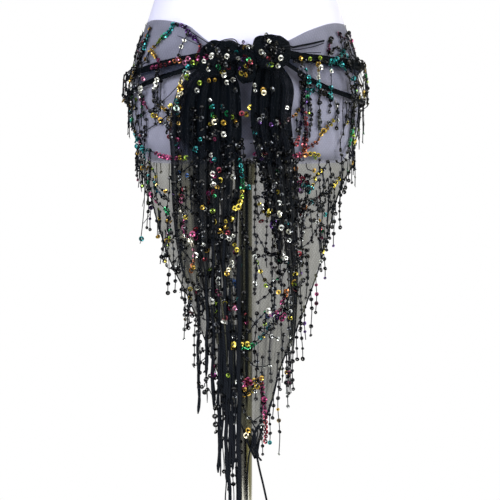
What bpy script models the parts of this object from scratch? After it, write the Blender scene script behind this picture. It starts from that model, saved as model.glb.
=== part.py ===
"""Belly dance hip scarf tied round a hip form that stands on a steel pole.

Metres, +Z up. The front of the form faces -Y and +X is on the viewer's right.
The origin is on the floor, under the middle of the pole.
Angles round the form are in degrees: 0 is the front, 90 the +X side, 180 the back.
"""

import math

import bmesh
import bpy
import numpy as np
from mathutils import Vector

# Stand
BASE_RADIUS = 0.160
BASE_THICKNESS = 0.006
BASE_EDGE = 0.002
COLLAR_RADIUS = 0.024
COLLAR_HEIGHT = 0.034
POLE_RADIUS = 0.010
SOCKET_RADIUS = 0.016
SOCKET_HEIGHT = 0.034
FLANGE_RADIUS = 0.045
FLANGE_THICKNESS = 0.005
GAP = 0.0003
TURNED_STEPS = 36

# Hip form: half of its width, and how far it reaches to the front and to the back
FORM_FOOT = 0.660
FORM_TOP = 1.010
FORM_STEPS = 60
FORM_SECTIONS = {
    "height": (0.660, 0.670, 0.680, 0.695, 0.715, 0.745, 0.800, 0.868, 0.903, 0.955, 1.010),
    "half_width": (0.146, 0.151, 0.1565, 0.1625, 0.167, 0.1695, 0.1665, 0.1475, 0.1365, 0.122, 0.121),
    "front": (0.094, 0.097, 0.099, 0.102, 0.104, 0.106, 0.106, 0.100, 0.095, 0.087, 0.085),
    "back": (0.098, 0.103, 0.107, 0.112, 0.116, 0.119, 0.115, 0.101, 0.094, 0.086, 0.084),
}
FOOT_ROUNDING = 0.005
TOP_ROUNDING = 0.018
WIDEST = 0.745

# Cloth: its wall, how far its two layers lie outside the form, and the clearance at a seam
NET = 0.0012
INNER_LAYER = 0.0013
OUTER_LAYER = 0.0040
SEAM = 0.0006
STATION = 7.5
HANG_HEIGHT = 0.690
HANG_HALF_WIDTH = 0.1618
ROWS_TOWARDS_RIM = 1.5
TOP_EDGE = {
    "angle": (-90, -66, -46, -32, -20, 0, 20, 34, 52, 90),
    "height": (0.866, 0.869, 0.8645, 0.855, 0.833, 0.812, 0.830, 0.847, 0.8605, 0.8645),
}
LEGS = {
    "height": (0.227, 0.266, 0.302, 0.359, 0.404, 0.461, 0.504, 0.557, 0.625, 0.660),
    "left": (0.008, -0.003, -0.019, -0.044, -0.062, -0.086, -0.108, -0.127, -0.146, -HANG_HALF_WIDTH),
    "right": (0.017, 0.024, 0.037, 0.053, 0.072, 0.094, 0.109, 0.123, 0.143, HANG_HALF_WIDTH),
}
FOLDS = (
    {"top": -0.122, "foot": -0.060, "width": 0.020, "depth": 0.0050},
    {"top": -0.078, "foot": -0.034, "width": 0.017, "depth": -0.0045},
    {"top": -0.028, "foot": -0.008, "width": 0.019, "depth": 0.0055},
    {"top": 0.034, "foot": 0.015, "width": 0.017, "depth": -0.0050},
    {"top": 0.086, "foot": 0.036, "width": 0.019, "depth": 0.0055},
    {"top": 0.128, "foot": 0.060, "width": 0.016, "depth": -0.0040},
)
FOLD_START = 0.650
FOLD_FULL = 0.480
FOLD_STAND = 0.004
FOLD_FADE_WIDTH = 0.120

# Wings of the scarf on the back of the form, from the side seams to the middle of the back
WING_RIGHT = {
    "angle": (90, 110, 130, 150, 165, 180),
    "top": (0.8645, 0.863, 0.858, 0.849, 0.844, 0.842),
    "foot": (0.660, 0.690, 0.732, 0.770, 0.790, 0.797),
}
WING_LEFT = {
    "angle": (90, 110, 130, 150, 165, 180),
    "top": (0.866, 0.862, 0.846, 0.815, 0.796, 0.789),
    "foot": (0.660, 0.678, 0.702, 0.724, 0.734, 0.738),
}
LIFT_START = 171

# The gathered ends that come forward over the wings and the front to the knot: a web of net
# between two rolled edges, given by the height of each roll's middle
BAND_LEFT = {
    "angle": (18, 28, 56, 90, 130, 165, 180),
    "upper": (0.8115, 0.809, 0.796, 0.787, 0.806, 0.833, 0.8365),
    "lower": (0.7980, 0.792, 0.773, 0.755, 0.773, 0.799, 0.8010),
}
BAND_RIGHT = {
    "angle": (18, 27, 41, 62, 90, 130, 165, 180),
    "upper": (0.8150, 0.8115, 0.809, 0.8057, 0.803, 0.796, 0.7855, 0.7835),
    "lower": (0.8010, 0.7860, 0.7667, 0.754, 0.748, 0.742, 0.7415, 0.7420),
}
UPPER_ROLL = 0.0050
LOWER_ROLL = 0.0035
ROLL_PROUD = 0.0060
KNOT_RISE = 0.010
KNOT_RISE_ANGLE = 14
HALF_SEAM_ANGLE = 0.15

# Knot: three gathered lumps, by their middle, how far out it lies, and their half sizes
KNOT_LEFT = {"x": -0.0390, "z": 0.8050, "out": 0.0240, "half": (0.0320, 0.0185, 0.0265), "folds": 7}
KNOT_RIGHT = {"x": 0.0395, "z": 0.8145, "out": 0.0245, "half": (0.0300, 0.0190, 0.0250), "folds": 6}
KNOT_CORE = {"x": 0.0010, "z": 0.7970, "out": 0.0270, "half": (0.0165, 0.0225, 0.0290), "folds": 5}
KNOT_FOLD = 0.05

# Tails: the free ends below the knot, pleated, with their edges at each height
TAIL_OUT = 0.0150
TAIL_FLARE = 0.050
PLEAT_TOO_NARROW = 0.0045
PLEAT_FULL_WIDTH = 0.0120
TAIL_LEFT = {
    "height": (0.245, 0.310, 0.412, 0.528, 0.6585, 0.731, 0.772, 0.796),
    "left": (-0.038, -0.0585, -0.073, -0.102, -0.112, -0.109, -0.088, -0.056),
    "right": (-0.010, -0.0077, -0.0077, -0.013, -0.0063, -0.0063, -0.0110, -0.024),
    "pleats": 5,
    "depth": 0.0040,
}
TAIL_RIGHT = {
    "height": (0.376, 0.398, 0.4555, 0.5425, 0.6585, 0.7165, 0.778, 0.804),
    "left": (0.060, 0.0625, 0.063, 0.036, 0.014, 0.009, 0.021, 0.028),
    "right": (0.073, 0.0750, 0.079, 0.0792, 0.0764, 0.069, 0.0677, 0.047),
    "pleats": 4,
    "depth": 0.0035,
}

# Fringe: how far its strands reach down from the edge that they are sewn to
LEG_FRINGE = 0.075
LEG_FRINGE_END = 0.268
BAND_FRINGE = 0.060
BAND_FRINGE_OUT = 0.0058
BAND_LEFT_FRINGED = (45, 165)
BAND_RIGHT_FRINGED = (37.5, 172.5)
SEWN = 0.0009
TAIL_LEFT_FRINGE = {
    "across": (-0.073, -0.066, -0.058, -0.047, -0.041, -0.028, -0.008),
    "foot": (0.290, 0.290, 0.300, 0.240, 0.197, 0.130, 0.125),
    "left_rise": 0.160,
    "right_rise": 0.055,
    "side_steps": 5,
}
TAIL_RIGHT_FRINGE = {
    "across": (0.059, 0.066, 0.074),
    "foot": (0.318, 0.300, 0.312),
    "left_rise": 0.0,
    "right_rise": 0.0,
    "side_steps": 0,
}
TIP_FRINGE = {
    "across": (0.000, 0.007, 0.014, 0.022),
    "foot": (0.165, 0.140, 0.138, 0.150),
}

FINISHES = {
    "white_cover": {"colour": (0.93, 0.93, 0.94), "roughness": 0.70, "metallic": 0.0},
    "polished_steel": {"colour": (0.60, 0.60, 0.58), "roughness": 0.18, "metallic": 1.0},
    "black_net": {"colour": (0.012, 0.014, 0.018), "roughness": 0.75, "metallic": 0.0},
    "black_strands": {"colour": (0.008, 0.010, 0.014), "roughness": 0.55, "metallic": 0.0},
}


def clear_scene():
    for thing in list(bpy.data.objects):
        bpy.data.objects.remove(thing, do_unlink=True)


def finish(name):
    """The material of this name, made on its first use."""
    if name in bpy.data.materials:
        return bpy.data.materials[name]
    look = FINISHES[name]
    made = bpy.data.materials.new(name)
    made.use_nodes = True
    shader = made.node_tree.nodes["Principled BSDF"]
    shader.inputs["Base Color"].default_value = (*look["colour"], 1.0)
    shader.inputs["Roughness"].default_value = look["roughness"]
    shader.inputs["Metallic"].default_value = look["metallic"]
    return made


def add_object(name, shape, finish_name, sharp_angle=40):
    """Puts the bmesh in the scene as one smooth-shaded object with its own finish."""
    mesh = bpy.data.meshes.new(name)
    shape.to_mesh(mesh)
    shape.free()
    mesh.shade_smooth()
    mesh.set_sharp_from_angle(angle=math.radians(sharp_angle))
    mesh.materials.append(finish(finish_name))
    made = bpy.data.objects.new(name, mesh)
    bpy.context.scene.collection.objects.link(made)
    return made


def smooth(table, column, at, key="height"):
    """The column's value at `at`, on a smooth curve through the table's rows, held level past its ends."""
    xs = np.array(table[key], float)
    ys = np.array(table[column], float)
    at = np.clip(at, xs[0], xs[-1])
    slopes = np.gradient(ys, xs)
    i = np.clip(np.searchsorted(xs, at) - 1, 0, len(xs) - 2)
    step = xs[i + 1] - xs[i]
    t = (at - xs[i]) / step
    start = (1 + 2 * t) * (1 - t) ** 2 * ys[i] + t * (1 - t) ** 2 * step * slopes[i]
    end = t * t * (3 - 2 * t) * ys[i + 1] + t * t * (t - 1) * step * slopes[i + 1]
    return start + end


def ease(value, low, high):
    """0 below `low`, 1 above `high`, and a smooth rise between them."""
    t = np.clip((value - low) / (high - low), 0, 1)
    return t * t * (3 - 2 * t)


# ---------------------------------------------------------------- shape of the form


def section_point(angle, level, height, out):
    """The point at this height, `out` metres outside the form's section at `level`."""
    half_width = smooth(FORM_SECTIONS, "half_width", level)
    depth = smooth(FORM_SECTIONS, "front" if math.cos(math.radians(angle)) > 0 else "back", level)
    sine = math.sin(math.radians(angle))
    cosine = math.cos(math.radians(angle))
    normal = np.array((sine / half_width, -cosine / depth, 0.0))
    normal /= np.linalg.norm(normal)
    return np.array((half_width * sine, -depth * cosine, height)) + out * normal


def draped(angle, height, out):
    """A point of cloth that lies on the form, and hangs straight down below HANG_HEIGHT."""
    return section_point(angle, max(height, HANG_HEIGHT), height, out)


def plumb(angle, height, out):
    """A point of a strand that lies on the form down to its widest place, and hangs from there."""
    return section_point(angle, max(height, WIDEST), height, out)


def angle_at(x, height, out):
    """The angle on the front of the form of a point x to the right of its middle and `out` outside it."""
    half_width = smooth(FORM_SECTIONS, "half_width", max(height, HANG_HEIGHT)) + out
    return math.degrees(math.asin(max(-1.0, min(1.0, x / half_width))))


def front(x, height, out):
    return draped(angle_at(x, height, out), height, out)


def stations(start, end):
    """Angles from start to end, by way of the even stations that all stretches of the scarf share."""
    first = math.ceil((start + 1) / STATION) * STATION
    return [start, *np.arange(first, end - 1, STATION), end]


# ---------------------------------------------------------------- solids


def turned(name, finish_name, profile):
    """A solid of revolution round the pole's axis from a closed outline of (radius, height)."""
    shape = bmesh.new()
    points = [shape.verts.new((radius, 0.0, height)) for radius, height in profile]
    edges = [shape.edges.new((a, b)) for a, b in zip(points, points[1:] + points[:1])]
    bmesh.ops.spin(
        shape,
        geom=points + edges,
        axis=(0, 0, 1),
        cent=(0, 0, 0),
        angle=math.tau,
        steps=TURNED_STEPS,
        use_merge=True,
    )
    bmesh.ops.remove_doubles(shape, verts=shape.verts, dist=1e-6)
    on_axis = [edge for edge in shape.edges if edge.calc_length() < 1e-6 or not edge.link_faces]
    bmesh.ops.delete(shape, geom=on_axis, context="EDGES")
    bmesh.ops.recalc_face_normals(shape, faces=shape.faces)
    return add_object(name, shape, finish_name)


def lofted(name, finish_name, rings, sharp_angle=40):
    """A closed solid through rings of points, each end closed by one flat face."""
    shape = bmesh.new()
    rows = [[shape.verts.new(point) for point in ring] for ring in rings]
    for lower, upper in zip(rows, rows[1:]):
        for i in range(len(lower)):
            j = (i + 1) % len(lower)
            shape.faces.new((lower[i], lower[j], upper[j], upper[i]))
    shape.faces.new(rows[0])
    shape.faces.new(rows[-1])
    bmesh.ops.recalc_face_normals(shape, faces=shape.faces)
    return add_object(name, shape, finish_name, sharp_angle)


def sheet(name, finish_name, grid, thickness=NET):
    """A wall of cloth over a grid of points, thickened on the side away from the form."""
    shape = bmesh.new()
    rows = [[shape.verts.new(point) for point in row] for row in grid]
    for row, following in zip(rows, rows[1:]):
        for i in range(len(row) - 1):
            shape.faces.new((row[i], row[i + 1], following[i + 1], following[i]))
    shape.normal_update()
    facing = sum(face.normal.dot(face.calc_center_median() * Vector((1, 1, 0))) for face in shape.faces)
    if facing < 0:
        bmesh.ops.reverse_faces(shape, faces=shape.faces)
    made = add_object(name, shape, finish_name)
    wall = made.modifiers.new("wall", "SOLIDIFY")
    wall.thickness = thickness
    wall.offset = 1.0
    return made


# ---------------------------------------------------------------- stand and form


def build_stand():
    collar_foot = BASE_THICKNESS + GAP
    pole_foot = collar_foot
    pole_top = FORM_FOOT - GAP - FLANGE_THICKNESS - GAP
    bore = POLE_RADIUS + GAP
    turned("base_plate", "polished_steel", [
        (0.0, 0.0),
        (BASE_RADIUS - BASE_EDGE, 0.0),
        (BASE_RADIUS, BASE_EDGE),
        (BASE_RADIUS, BASE_THICKNESS - BASE_EDGE),
        (BASE_RADIUS - BASE_EDGE, BASE_THICKNESS),
        (0.0, BASE_THICKNESS),
    ])
    turned("base_collar", "polished_steel", [
        (bore, collar_foot),
        (COLLAR_RADIUS, collar_foot),
        (COLLAR_RADIUS, collar_foot + 0.25 * COLLAR_HEIGHT),
        (0.70 * COLLAR_RADIUS, collar_foot + 0.50 * COLLAR_HEIGHT),
        (0.62 * COLLAR_RADIUS, collar_foot + COLLAR_HEIGHT),
        (bore, collar_foot + COLLAR_HEIGHT),
    ])
    turned("pole", "polished_steel", [
        (0.0, pole_foot),
        (POLE_RADIUS, pole_foot),
        (POLE_RADIUS, pole_top),
        (0.0, pole_top),
    ])
    flange_top = FORM_FOOT - GAP
    turned("form_socket", "polished_steel", [
        (0.0, flange_top),
        (0.0, flange_top - FLANGE_THICKNESS),
        (bore, flange_top - FLANGE_THICKNESS),
        (bore, flange_top - SOCKET_HEIGHT),
        (SOCKET_RADIUS, flange_top - SOCKET_HEIGHT),
        (SOCKET_RADIUS, flange_top - FLANGE_THICKNESS),
        (FLANGE_RADIUS, flange_top - FLANGE_THICKNESS),
        (FLANGE_RADIUS, flange_top),
    ])


def rounding(height):
    """How far the form's edge is drawn in at this height, by its rounded foot and top."""
    drawn_in = 0.0
    for radius, from_end in ((FOOT_ROUNDING, height - FORM_FOOT), (TOP_ROUNDING, FORM_TOP - height)):
        short = max(0.0, radius - from_end)
        drawn_in += radius - math.sqrt(radius * radius - short * short)
    return drawn_in


def build_form():
    foot = [FORM_FOOT + FOOT_ROUNDING * step for step in (0.0, 0.3, 1.0)]
    sides = list(np.linspace(FORM_FOOT + 3 * FOOT_ROUNDING, FORM_TOP - TOP_ROUNDING, 13))
    top = [FORM_TOP - TOP_ROUNDING * step for step in (0.6, 0.25, 0.06, 0.0)]
    rings = []
    for height in foot + sides + top:
        angles = [360.0 * step / FORM_STEPS for step in range(FORM_STEPS)]
        rings.append([section_point(angle, height, height, -rounding(height)) for angle in angles])
    lofted("form_body", "white_cover", rings)


# ---------------------------------------------------------------- the scarf's stretches


def fold_depth(x, height):
    """How far the hanging cloth stands out at this place, from its soft vertical folds."""
    fall = (FORM_FOOT - height) / (FORM_FOOT - LEGS["height"][0])
    grown = ease(-height, -FOLD_START, -FOLD_FULL)
    width = smooth(LEGS, "right", height) - smooth(LEGS, "left", height)
    total = FOLD_STAND
    for fold in FOLDS:
        middle = fold["top"] + (fold["foot"] - fold["top"]) * fall
        total += fold["depth"] * math.exp(-(((x - middle) / fold["width"]) ** 2))
    return total * grown * ease(width, 0.0, FOLD_FADE_WIDTH)


def hanging(x, height, foot=None):
    """A point of the front panel below the form, or of a strand that hangs on from it to `foot`."""
    place = front(x, height, INNER_LAYER + fold_depth(x, height))
    if foot is not None:
        place[2] = foot
    return place


def build_front_panel(columns=25):
    rows = []
    for step in np.linspace(0.0, 1.0, 9):
        share = 1 - (1 - step) ** ROWS_TOWARDS_RIM
        row = []
        for angle in np.linspace(-90.0, 90.0, columns):
            top = smooth(TOP_EDGE, "height", angle, key="angle")
            row.append(draped(angle, top + (HANG_HEIGHT - top) * share, INNER_LAYER))
        rows.append(row)
    for height in np.linspace(FORM_FOOT, LEGS["height"][0], 17):
        left = angle_at(smooth(LEGS, "left", height), height, INNER_LAYER)
        right = angle_at(smooth(LEGS, "right", height), height, INNER_LAYER)
        angles = np.linspace(left, right, columns)
        rows.append([hanging(draped(angle, height, INNER_LAYER)[0], height) for angle in angles])
    sheet("front_panel", "black_net", rows)


def build_wing(name, table, side, rows=9):
    """A wing lies on the form, and rises to the outer layer just before the middle of the back."""
    grid = []
    for share in np.linspace(0.0, 1.0, rows):
        row = []
        for angle in stations(90 + HALF_SEAM_ANGLE, 180 - HALF_SEAM_ANGLE):
            top = smooth(table, "top", angle, key="angle")
            foot = smooth(table, "foot", angle, key="angle")
            out = INNER_LAYER + (OUTER_LAYER - INNER_LAYER) * ease(angle, LIFT_START, 180)
            row.append(draped(side * angle, top + (foot - top) * share, out))
        grid.append(row)
    sheet(name, "black_net", grid)


def band_section(angle, side, table, out):
    """The closed outline of a gathered end at this angle: flat behind, two rolled edges in front."""
    upper = smooth(table, "upper", angle, key="angle")
    lower = smooth(table, "lower", angle, key="angle")
    heights = [upper + UPPER_ROLL * step for step in (1.0, 0.6, 0.0, -0.6, -1.0)]
    heights += [lower + LOWER_ROLL * step for step in (1.0, 0.6, 0.0, -0.6, -1.0)]
    ring = []
    for height in heights:
        on_upper = (height - upper) / UPPER_ROLL
        on_lower = (height - lower) / LOWER_ROLL
        roll = max(0.0, 1 - on_upper**2, 1 - on_lower**2)
        ring.append(draped(side * angle, height, out + NET + ROLL_PROUD * roll))
    ring += [draped(side * angle, height, out) for height in reversed(heights)]
    return ring


def build_band(name, table, side, start, end):
    near_knot = table["angle"][0]
    rings = []
    for angle in stations(start, end):
        rise = KNOT_RISE * (1 - ease(angle, near_knot, near_knot + KNOT_RISE_ANGLE))
        rings.append(band_section(angle, side, table, OUTER_LAYER + rise))
    return lofted(name, "black_net", rings)


def build_lump(name, lump, swell=0.0, around=20, along=10):
    """A gathered lump of cloth: an egg that bends with the form, with folds that run across it."""
    shape = bmesh.new()
    bmesh.ops.create_uvsphere(shape, u_segments=around, v_segments=along, radius=1.0)
    half_x, half_out, half_z = (half + swell for half in lump["half"])
    for vert in shape.verts:
        across, deep, high = vert.co
        size = 1 + KNOT_FOLD * math.cos(lump["folds"] * math.atan2(deep, high))
        out = lump["out"] - half_out * deep * size
        vert.co = front(lump["x"] + half_x * across, lump["z"] + half_z * high * size, out)
    bmesh.ops.recalc_face_normals(shape, faces=shape.faces)
    return add_object(name, shape, "black_net", sharp_angle=60)


def cut_clear(piece, cutters):
    """Cuts away what would lie inside a piece of the knot, or within a seam's clearance of it."""
    for cutter in cutters:
        cutter.hide_render = True
        cutter.display_type = "WIRE"
        cut = piece.modifiers.new("clear_of_" + cutter.name, "BOOLEAN")
        cut.operation = "DIFFERENCE"
        cut.object = cutter


def tail_out(height):
    """A tail hangs straight down, so it stands further off where the form draws back below the belly."""
    level = max(height, HANG_HEIGHT)
    return TAIL_OUT + smooth(FORM_SECTIONS, "front", WIDEST) - smooth(FORM_SECTIONS, "front", level)


def build_tail(name, table):
    """A pleated tail, with two rows of points for each row of its table."""
    columns = 4 * table["pleats"] + 1
    sections = len(table["height"])
    grid = []
    for height in np.interp(np.arange(0, sections - 0.75, 0.5), range(sections), table["height"])[::-1]:
        left = smooth(table, "left", height)
        right = smooth(table, "right", height)
        depth = table["depth"] * ease((right - left) / table["pleats"], PLEAT_TOO_NARROW, PLEAT_FULL_WIDTH)
        depth *= ease(table["height"][-1] - height, 0.0, TAIL_FLARE)
        row = []
        for share in np.linspace(0.0, 1.0, columns):
            wave = math.sin(math.tau * table["pleats"] * share)
            row.append(front(left + (right - left) * share, height, tail_out(height) + depth * wave))
        grid.append(row)
    return sheet(name, "black_net", grid)


def build_ends():
    """The two gathered ends, the knot that they are tied in, and the tails below it."""
    side_front = 90 - HALF_SEAM_ANGLE
    side_back = 90 + HALF_SEAM_ANGLE
    back = 180 - HALF_SEAM_ANGLE
    band_left = build_band("band_front_left", BAND_LEFT, -1, BAND_LEFT["angle"][0], side_front)
    band_right = build_band("band_front_right", BAND_RIGHT, 1, BAND_RIGHT["angle"][0], side_front)
    build_band("band_back_left", BAND_LEFT, -1, side_back, back)
    build_band("band_back_right", BAND_RIGHT, 1, side_back, back)
    build_lump("knot_core", KNOT_CORE)
    knot_left = build_lump("knot_left", KNOT_LEFT)
    knot_right = build_lump("knot_right", KNOT_RIGHT)
    tail_left = build_tail("tail_left", TAIL_LEFT)
    tail_right = build_tail("tail_right", TAIL_RIGHT)
    room_core = build_lump("room_for_knot_core", KNOT_CORE, SEAM)
    room_left = build_lump("room_for_knot_left", KNOT_LEFT, SEAM)
    room_right = build_lump("room_for_knot_right", KNOT_RIGHT, SEAM)
    cut_clear(knot_left, [room_core])
    cut_clear(knot_right, [room_core])
    for piece, room in (
        (band_left, room_left),
        (tail_left, room_left),
        (band_right, room_right),
        (tail_right, room_right),
    ):
        cut_clear(piece, [room])


# ---------------------------------------------------------------- fringe, as plain walls of its reach


def curtain(name, edge, reach, point, rows=3):
    """A wall that hangs from an edge, given by pairs of a place along it and its height there."""
    grid = []
    for share in np.linspace(0.0, 1.0, rows):
        grid.append([point(place, top, top - reach(place, top) * share) for place, top in edge])
    sheet(name, "black_strands", grid)


def build_leg_fringe(name, side, column, steps=14):
    """Strands below one slanting edge of the front panel."""
    edge = []
    for height in np.linspace(FORM_FOOT - SEWN, LEG_FRINGE_END, steps):
        x = smooth(LEGS, column, height) + side * SEWN
        edge.append((side * min(side * x, HANG_HALF_WIDTH), height - SEWN))
    curtain(name, edge, lambda x, top: LEG_FRINGE, lambda x, top, height: hanging(x, top, height))


def build_wing_fringe(name, table, side):
    """Strands below the slanting edge of a wing, against the back of the form."""
    edge = []
    for angle in stations(90 + HALF_SEAM_ANGLE, LIFT_START):
        edge.append((side * angle, smooth(table, "foot", angle, key="angle") - SEWN))
    curtain(
        name,
        edge,
        lambda angle, top: LEG_FRINGE,
        lambda angle, top, height: plumb(angle, height, INNER_LAYER),
    )


def build_band_fringe(name, table, side, start, end):
    """Strands below the lower roll of a gathered end."""
    edge = []
    for angle in stations(start, end):
        lower = smooth(table, "lower", angle, key="angle")
        edge.append((side * angle, lower - LOWER_ROLL - 0.5 * SEWN))
    curtain(
        name,
        edge,
        lambda angle, top: BAND_FRINGE,
        lambda angle, top, height: plumb(angle, height, BAND_FRINGE_OUT),
    )


def build_tail_fringe(name, tail, fringe, across=4):
    """Strands below the edges of a tail, down its left side, across its foot and up its right side."""
    foot = tail["height"][0]
    steps = fringe["side_steps"]
    edge = []
    for height in np.linspace(foot + fringe["left_rise"], foot, steps, endpoint=False):
        edge.append((smooth(tail, "left", height) - 2 * SEWN, height - SEWN))
    for x in np.linspace(smooth(tail, "left", foot) - 2 * SEWN, smooth(tail, "right", foot) + SEWN, across):
        edge.append((x, foot - SEWN))
    for height in np.linspace(foot + fringe["right_rise"], foot, steps, endpoint=False)[::-1]:
        edge.append((smooth(tail, "right", height) + SEWN, height - SEWN))
    curtain(
        name,
        edge,
        lambda x, top: top - smooth(fringe, "foot", x, key="across"),
        lambda x, top, height: front(x, height, tail_out(height)),
    )


def build_tip_fringe():
    foot = LEGS["height"][0] - SEWN
    edge = [(x, foot) for x in np.linspace(TIP_FRINGE["across"][0], TIP_FRINGE["across"][-1], 6)]
    curtain(
        "fringe_tip",
        edge,
        lambda x, top: top - smooth(TIP_FRINGE, "foot", x, key="across"),
        lambda x, top, height: front(x, height, INNER_LAYER),
    )


def build_fringe():
    build_leg_fringe("fringe_panel_left", -1, "left")
    build_leg_fringe("fringe_panel_right", 1, "right")
    build_wing_fringe("fringe_wing_left", WING_LEFT, -1)
    build_wing_fringe("fringe_wing_right", WING_RIGHT, 1)
    build_band_fringe("fringe_band_left", BAND_LEFT, -1, *BAND_LEFT_FRINGED)
    build_band_fringe("fringe_band_right", BAND_RIGHT, 1, *BAND_RIGHT_FRINGED)
    build_tail_fringe("fringe_tail_left", TAIL_LEFT, TAIL_LEFT_FRINGE)
    build_tail_fringe("fringe_tail_right", TAIL_RIGHT, TAIL_RIGHT_FRINGE)
    build_tip_fringe()


def main():
    clear_scene()
    build_stand()
    build_form()
    build_front_panel()
    build_wing("wing_left", WING_LEFT, -1)
    build_wing("wing_right", WING_RIGHT, 1)
    build_ends()
    build_fringe()


main()
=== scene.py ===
# %% [markdown]
# # A belly dance hip belt on a dress form
#
# The belt is one large triangle of black net. Its long edge goes round the hips, its middle corner
# hangs down in front of the pole, and its two ends go round the back, come forward as gathered
# bands and are tied in a knot whose tails hang down in pleats. Threads strung with cupped sequins
# are sewn on it in loose swags, and more of them hang as a fringe.
#
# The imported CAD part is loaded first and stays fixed. Each piece of cloth made here takes the place
# of the CAD solid of the same stretch, so its size and place come from the same tables.

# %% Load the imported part
import math

import bmesh
import bpy
import numpy as np
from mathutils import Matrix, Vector


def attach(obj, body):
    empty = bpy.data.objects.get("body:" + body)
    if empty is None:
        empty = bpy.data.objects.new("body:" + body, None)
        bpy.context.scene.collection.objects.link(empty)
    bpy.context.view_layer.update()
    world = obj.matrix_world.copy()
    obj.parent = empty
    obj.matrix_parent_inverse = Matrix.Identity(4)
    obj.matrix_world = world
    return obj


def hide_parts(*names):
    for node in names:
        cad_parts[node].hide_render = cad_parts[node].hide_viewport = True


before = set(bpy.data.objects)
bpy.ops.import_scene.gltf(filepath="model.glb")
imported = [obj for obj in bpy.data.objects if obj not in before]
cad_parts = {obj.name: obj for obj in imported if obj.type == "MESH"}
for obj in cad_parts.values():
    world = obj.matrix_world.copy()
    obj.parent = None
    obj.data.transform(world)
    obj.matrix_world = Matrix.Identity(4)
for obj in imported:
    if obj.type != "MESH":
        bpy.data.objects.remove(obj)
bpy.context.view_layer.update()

scene = bpy.context.scene
chance = np.random.default_rng(29)

# %% [markdown]
# ## The shape of the hips
#
# Everything lies on the hips or hangs from them, so the script needs the form's outline. It could be
# read off the CAD mesh with ray casts, but a table of its sections is exact and can be asked for a
# point at any height and angle. The angle is 0 at the front, 90 at the viewer's right and 180 at the
# back. `smooth` draws a soft curve through a table's rows.

# %% Tables of the form, and points on it
FORM = {
    "height": (0.660, 0.670, 0.680, 0.695, 0.715, 0.745, 0.800, 0.868, 0.903, 0.955, 1.010),
    "half_width": (0.146, 0.151, 0.1565, 0.1625, 0.167, 0.1695, 0.1665, 0.1475, 0.1365, 0.122, 0.121),
    "front": (0.094, 0.097, 0.099, 0.102, 0.104, 0.106, 0.106, 0.100, 0.095, 0.087, 0.085),
    "back": (0.098, 0.103, 0.107, 0.112, 0.116, 0.119, 0.115, 0.101, 0.094, 0.086, 0.084),
}
FORM_FOOT = 0.660
FORM_TOP = 1.010
HANG_HEIGHT = 0.690
WIDEST = 0.745
HIP_RADIUS = 0.15


def smooth(table, column, at):
    """The column's value where the table's first column is `at`, on a soft curve through its rows."""
    xs = np.array(next(iter(table.values())), float)
    ys = np.array(table[column], float)
    at = np.clip(at, xs[0], xs[-1])
    slopes = np.gradient(ys, xs)
    i = np.clip(np.searchsorted(xs, at) - 1, 0, len(xs) - 2)
    step = xs[i + 1] - xs[i]
    t = (at - xs[i]) / step
    start = (1 + 2 * t) * (1 - t) ** 2 * ys[i] + t * (1 - t) ** 2 * step * slopes[i]
    end = t * t * (3 - 2 * t) * ys[i + 1] + t * t * (t - 1) * step * slopes[i + 1]
    return start + end


def edges(table, at, first="left", second="right"):
    """Two columns at once, such as the two edges of a piece."""
    return smooth(table, first, at), smooth(table, second, at)


def ease(value, low, high):
    """0 below `low`, 1 above `high`, and a soft rise between."""
    t = np.clip((value - low) / (high - low), 0, 1)
    return t * t * (3 - 2 * t)


def below(value, high, low):
    """0 above `high`, 1 below `low`, and a soft rise between."""
    return ease(-value, -high, -low)


def around(angle, level, height, out):
    """Points at `height`, `out` metres outside the form's section at `level`."""
    angle, level, height, out = np.broadcast_arrays(
        *(np.asarray(v, float) for v in (angle, level, height, out))
    )
    sine, cosine = np.sin(np.radians(angle)), np.cos(np.radians(angle))
    half_width = smooth(FORM, "half_width", level)
    depth = np.where(cosine > 0, *edges(FORM, level, "front", "back"))
    normal = np.stack((sine / half_width, -cosine / depth, np.zeros_like(sine)), -1)
    normal /= np.linalg.norm(normal, axis=-1, keepdims=True)
    return np.stack((half_width * sine, -depth * cosine, height), -1) + out[..., None] * normal


def draped(angle, height, out):
    """Cloth that lies on the hips and hangs straight down below HANG_HEIGHT."""
    return around(angle, np.maximum(height, HANG_HEIGHT), height, out)


def plumb(angle, sewn, height, out):
    """A strand sewn at the height `sewn`: it lies on the hips to their widest place and hangs from there."""
    hangs_from = np.clip(sewn, HANG_HEIGHT, WIDEST)
    return around(angle, np.maximum(height, hangs_from), height, out)


def turn_of(x, height, out):
    """The angle on the front of the hips that is x to the right of the middle."""
    half_width = smooth(FORM, "half_width", np.maximum(height, HANG_HEIGHT)) + out
    return np.degrees(np.arcsin(np.clip(x / half_width, -1, 1)))


def front(x, height, out):
    """A point on the front, x to the right of the middle at a height, `out` metres off the form."""
    return draped(turn_of(x, height, out), height, out)


# %% [markdown]
# ## Nodes for materials
#
# A finish is a small tree of nodes. These helpers add one node each and give back its output, so a
# material reads as a list of what goes into it. Colours are written as sRGB hex codes and turned
# into the linear values that the renderer wants. A pattern's scale follows from its size in metres:
# a wave texture of scale 1 repeats every 0.314 m.

# %% Helpers for node trees
WAVE_REPEAT = 0.314


def linear(code):
    """Linear red, green and blue from an sRGB hex code, and an alpha of 1."""
    parts = [int(code[i : i + 2], 16) / 255 for i in (0, 2, 4)]
    return (*(p / 12.92 if p <= 0.04045 else ((p + 0.055) / 1.055) ** 2.4 for p in parts), 1.0)


def add_node(tree, kind, links=None, **settings):
    """Adds one node: settings are its own properties, links gives inputs a value or another's output."""
    made = tree.nodes.new(kind)
    for key, value in settings.items():
        setattr(made, key, value)
    for key, value in (links or {}).items():
        if isinstance(value, bpy.types.NodeSocket):
            tree.links.new(value, made.inputs[key])
        else:
            made.inputs[key].default_value = value
    return made


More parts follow.
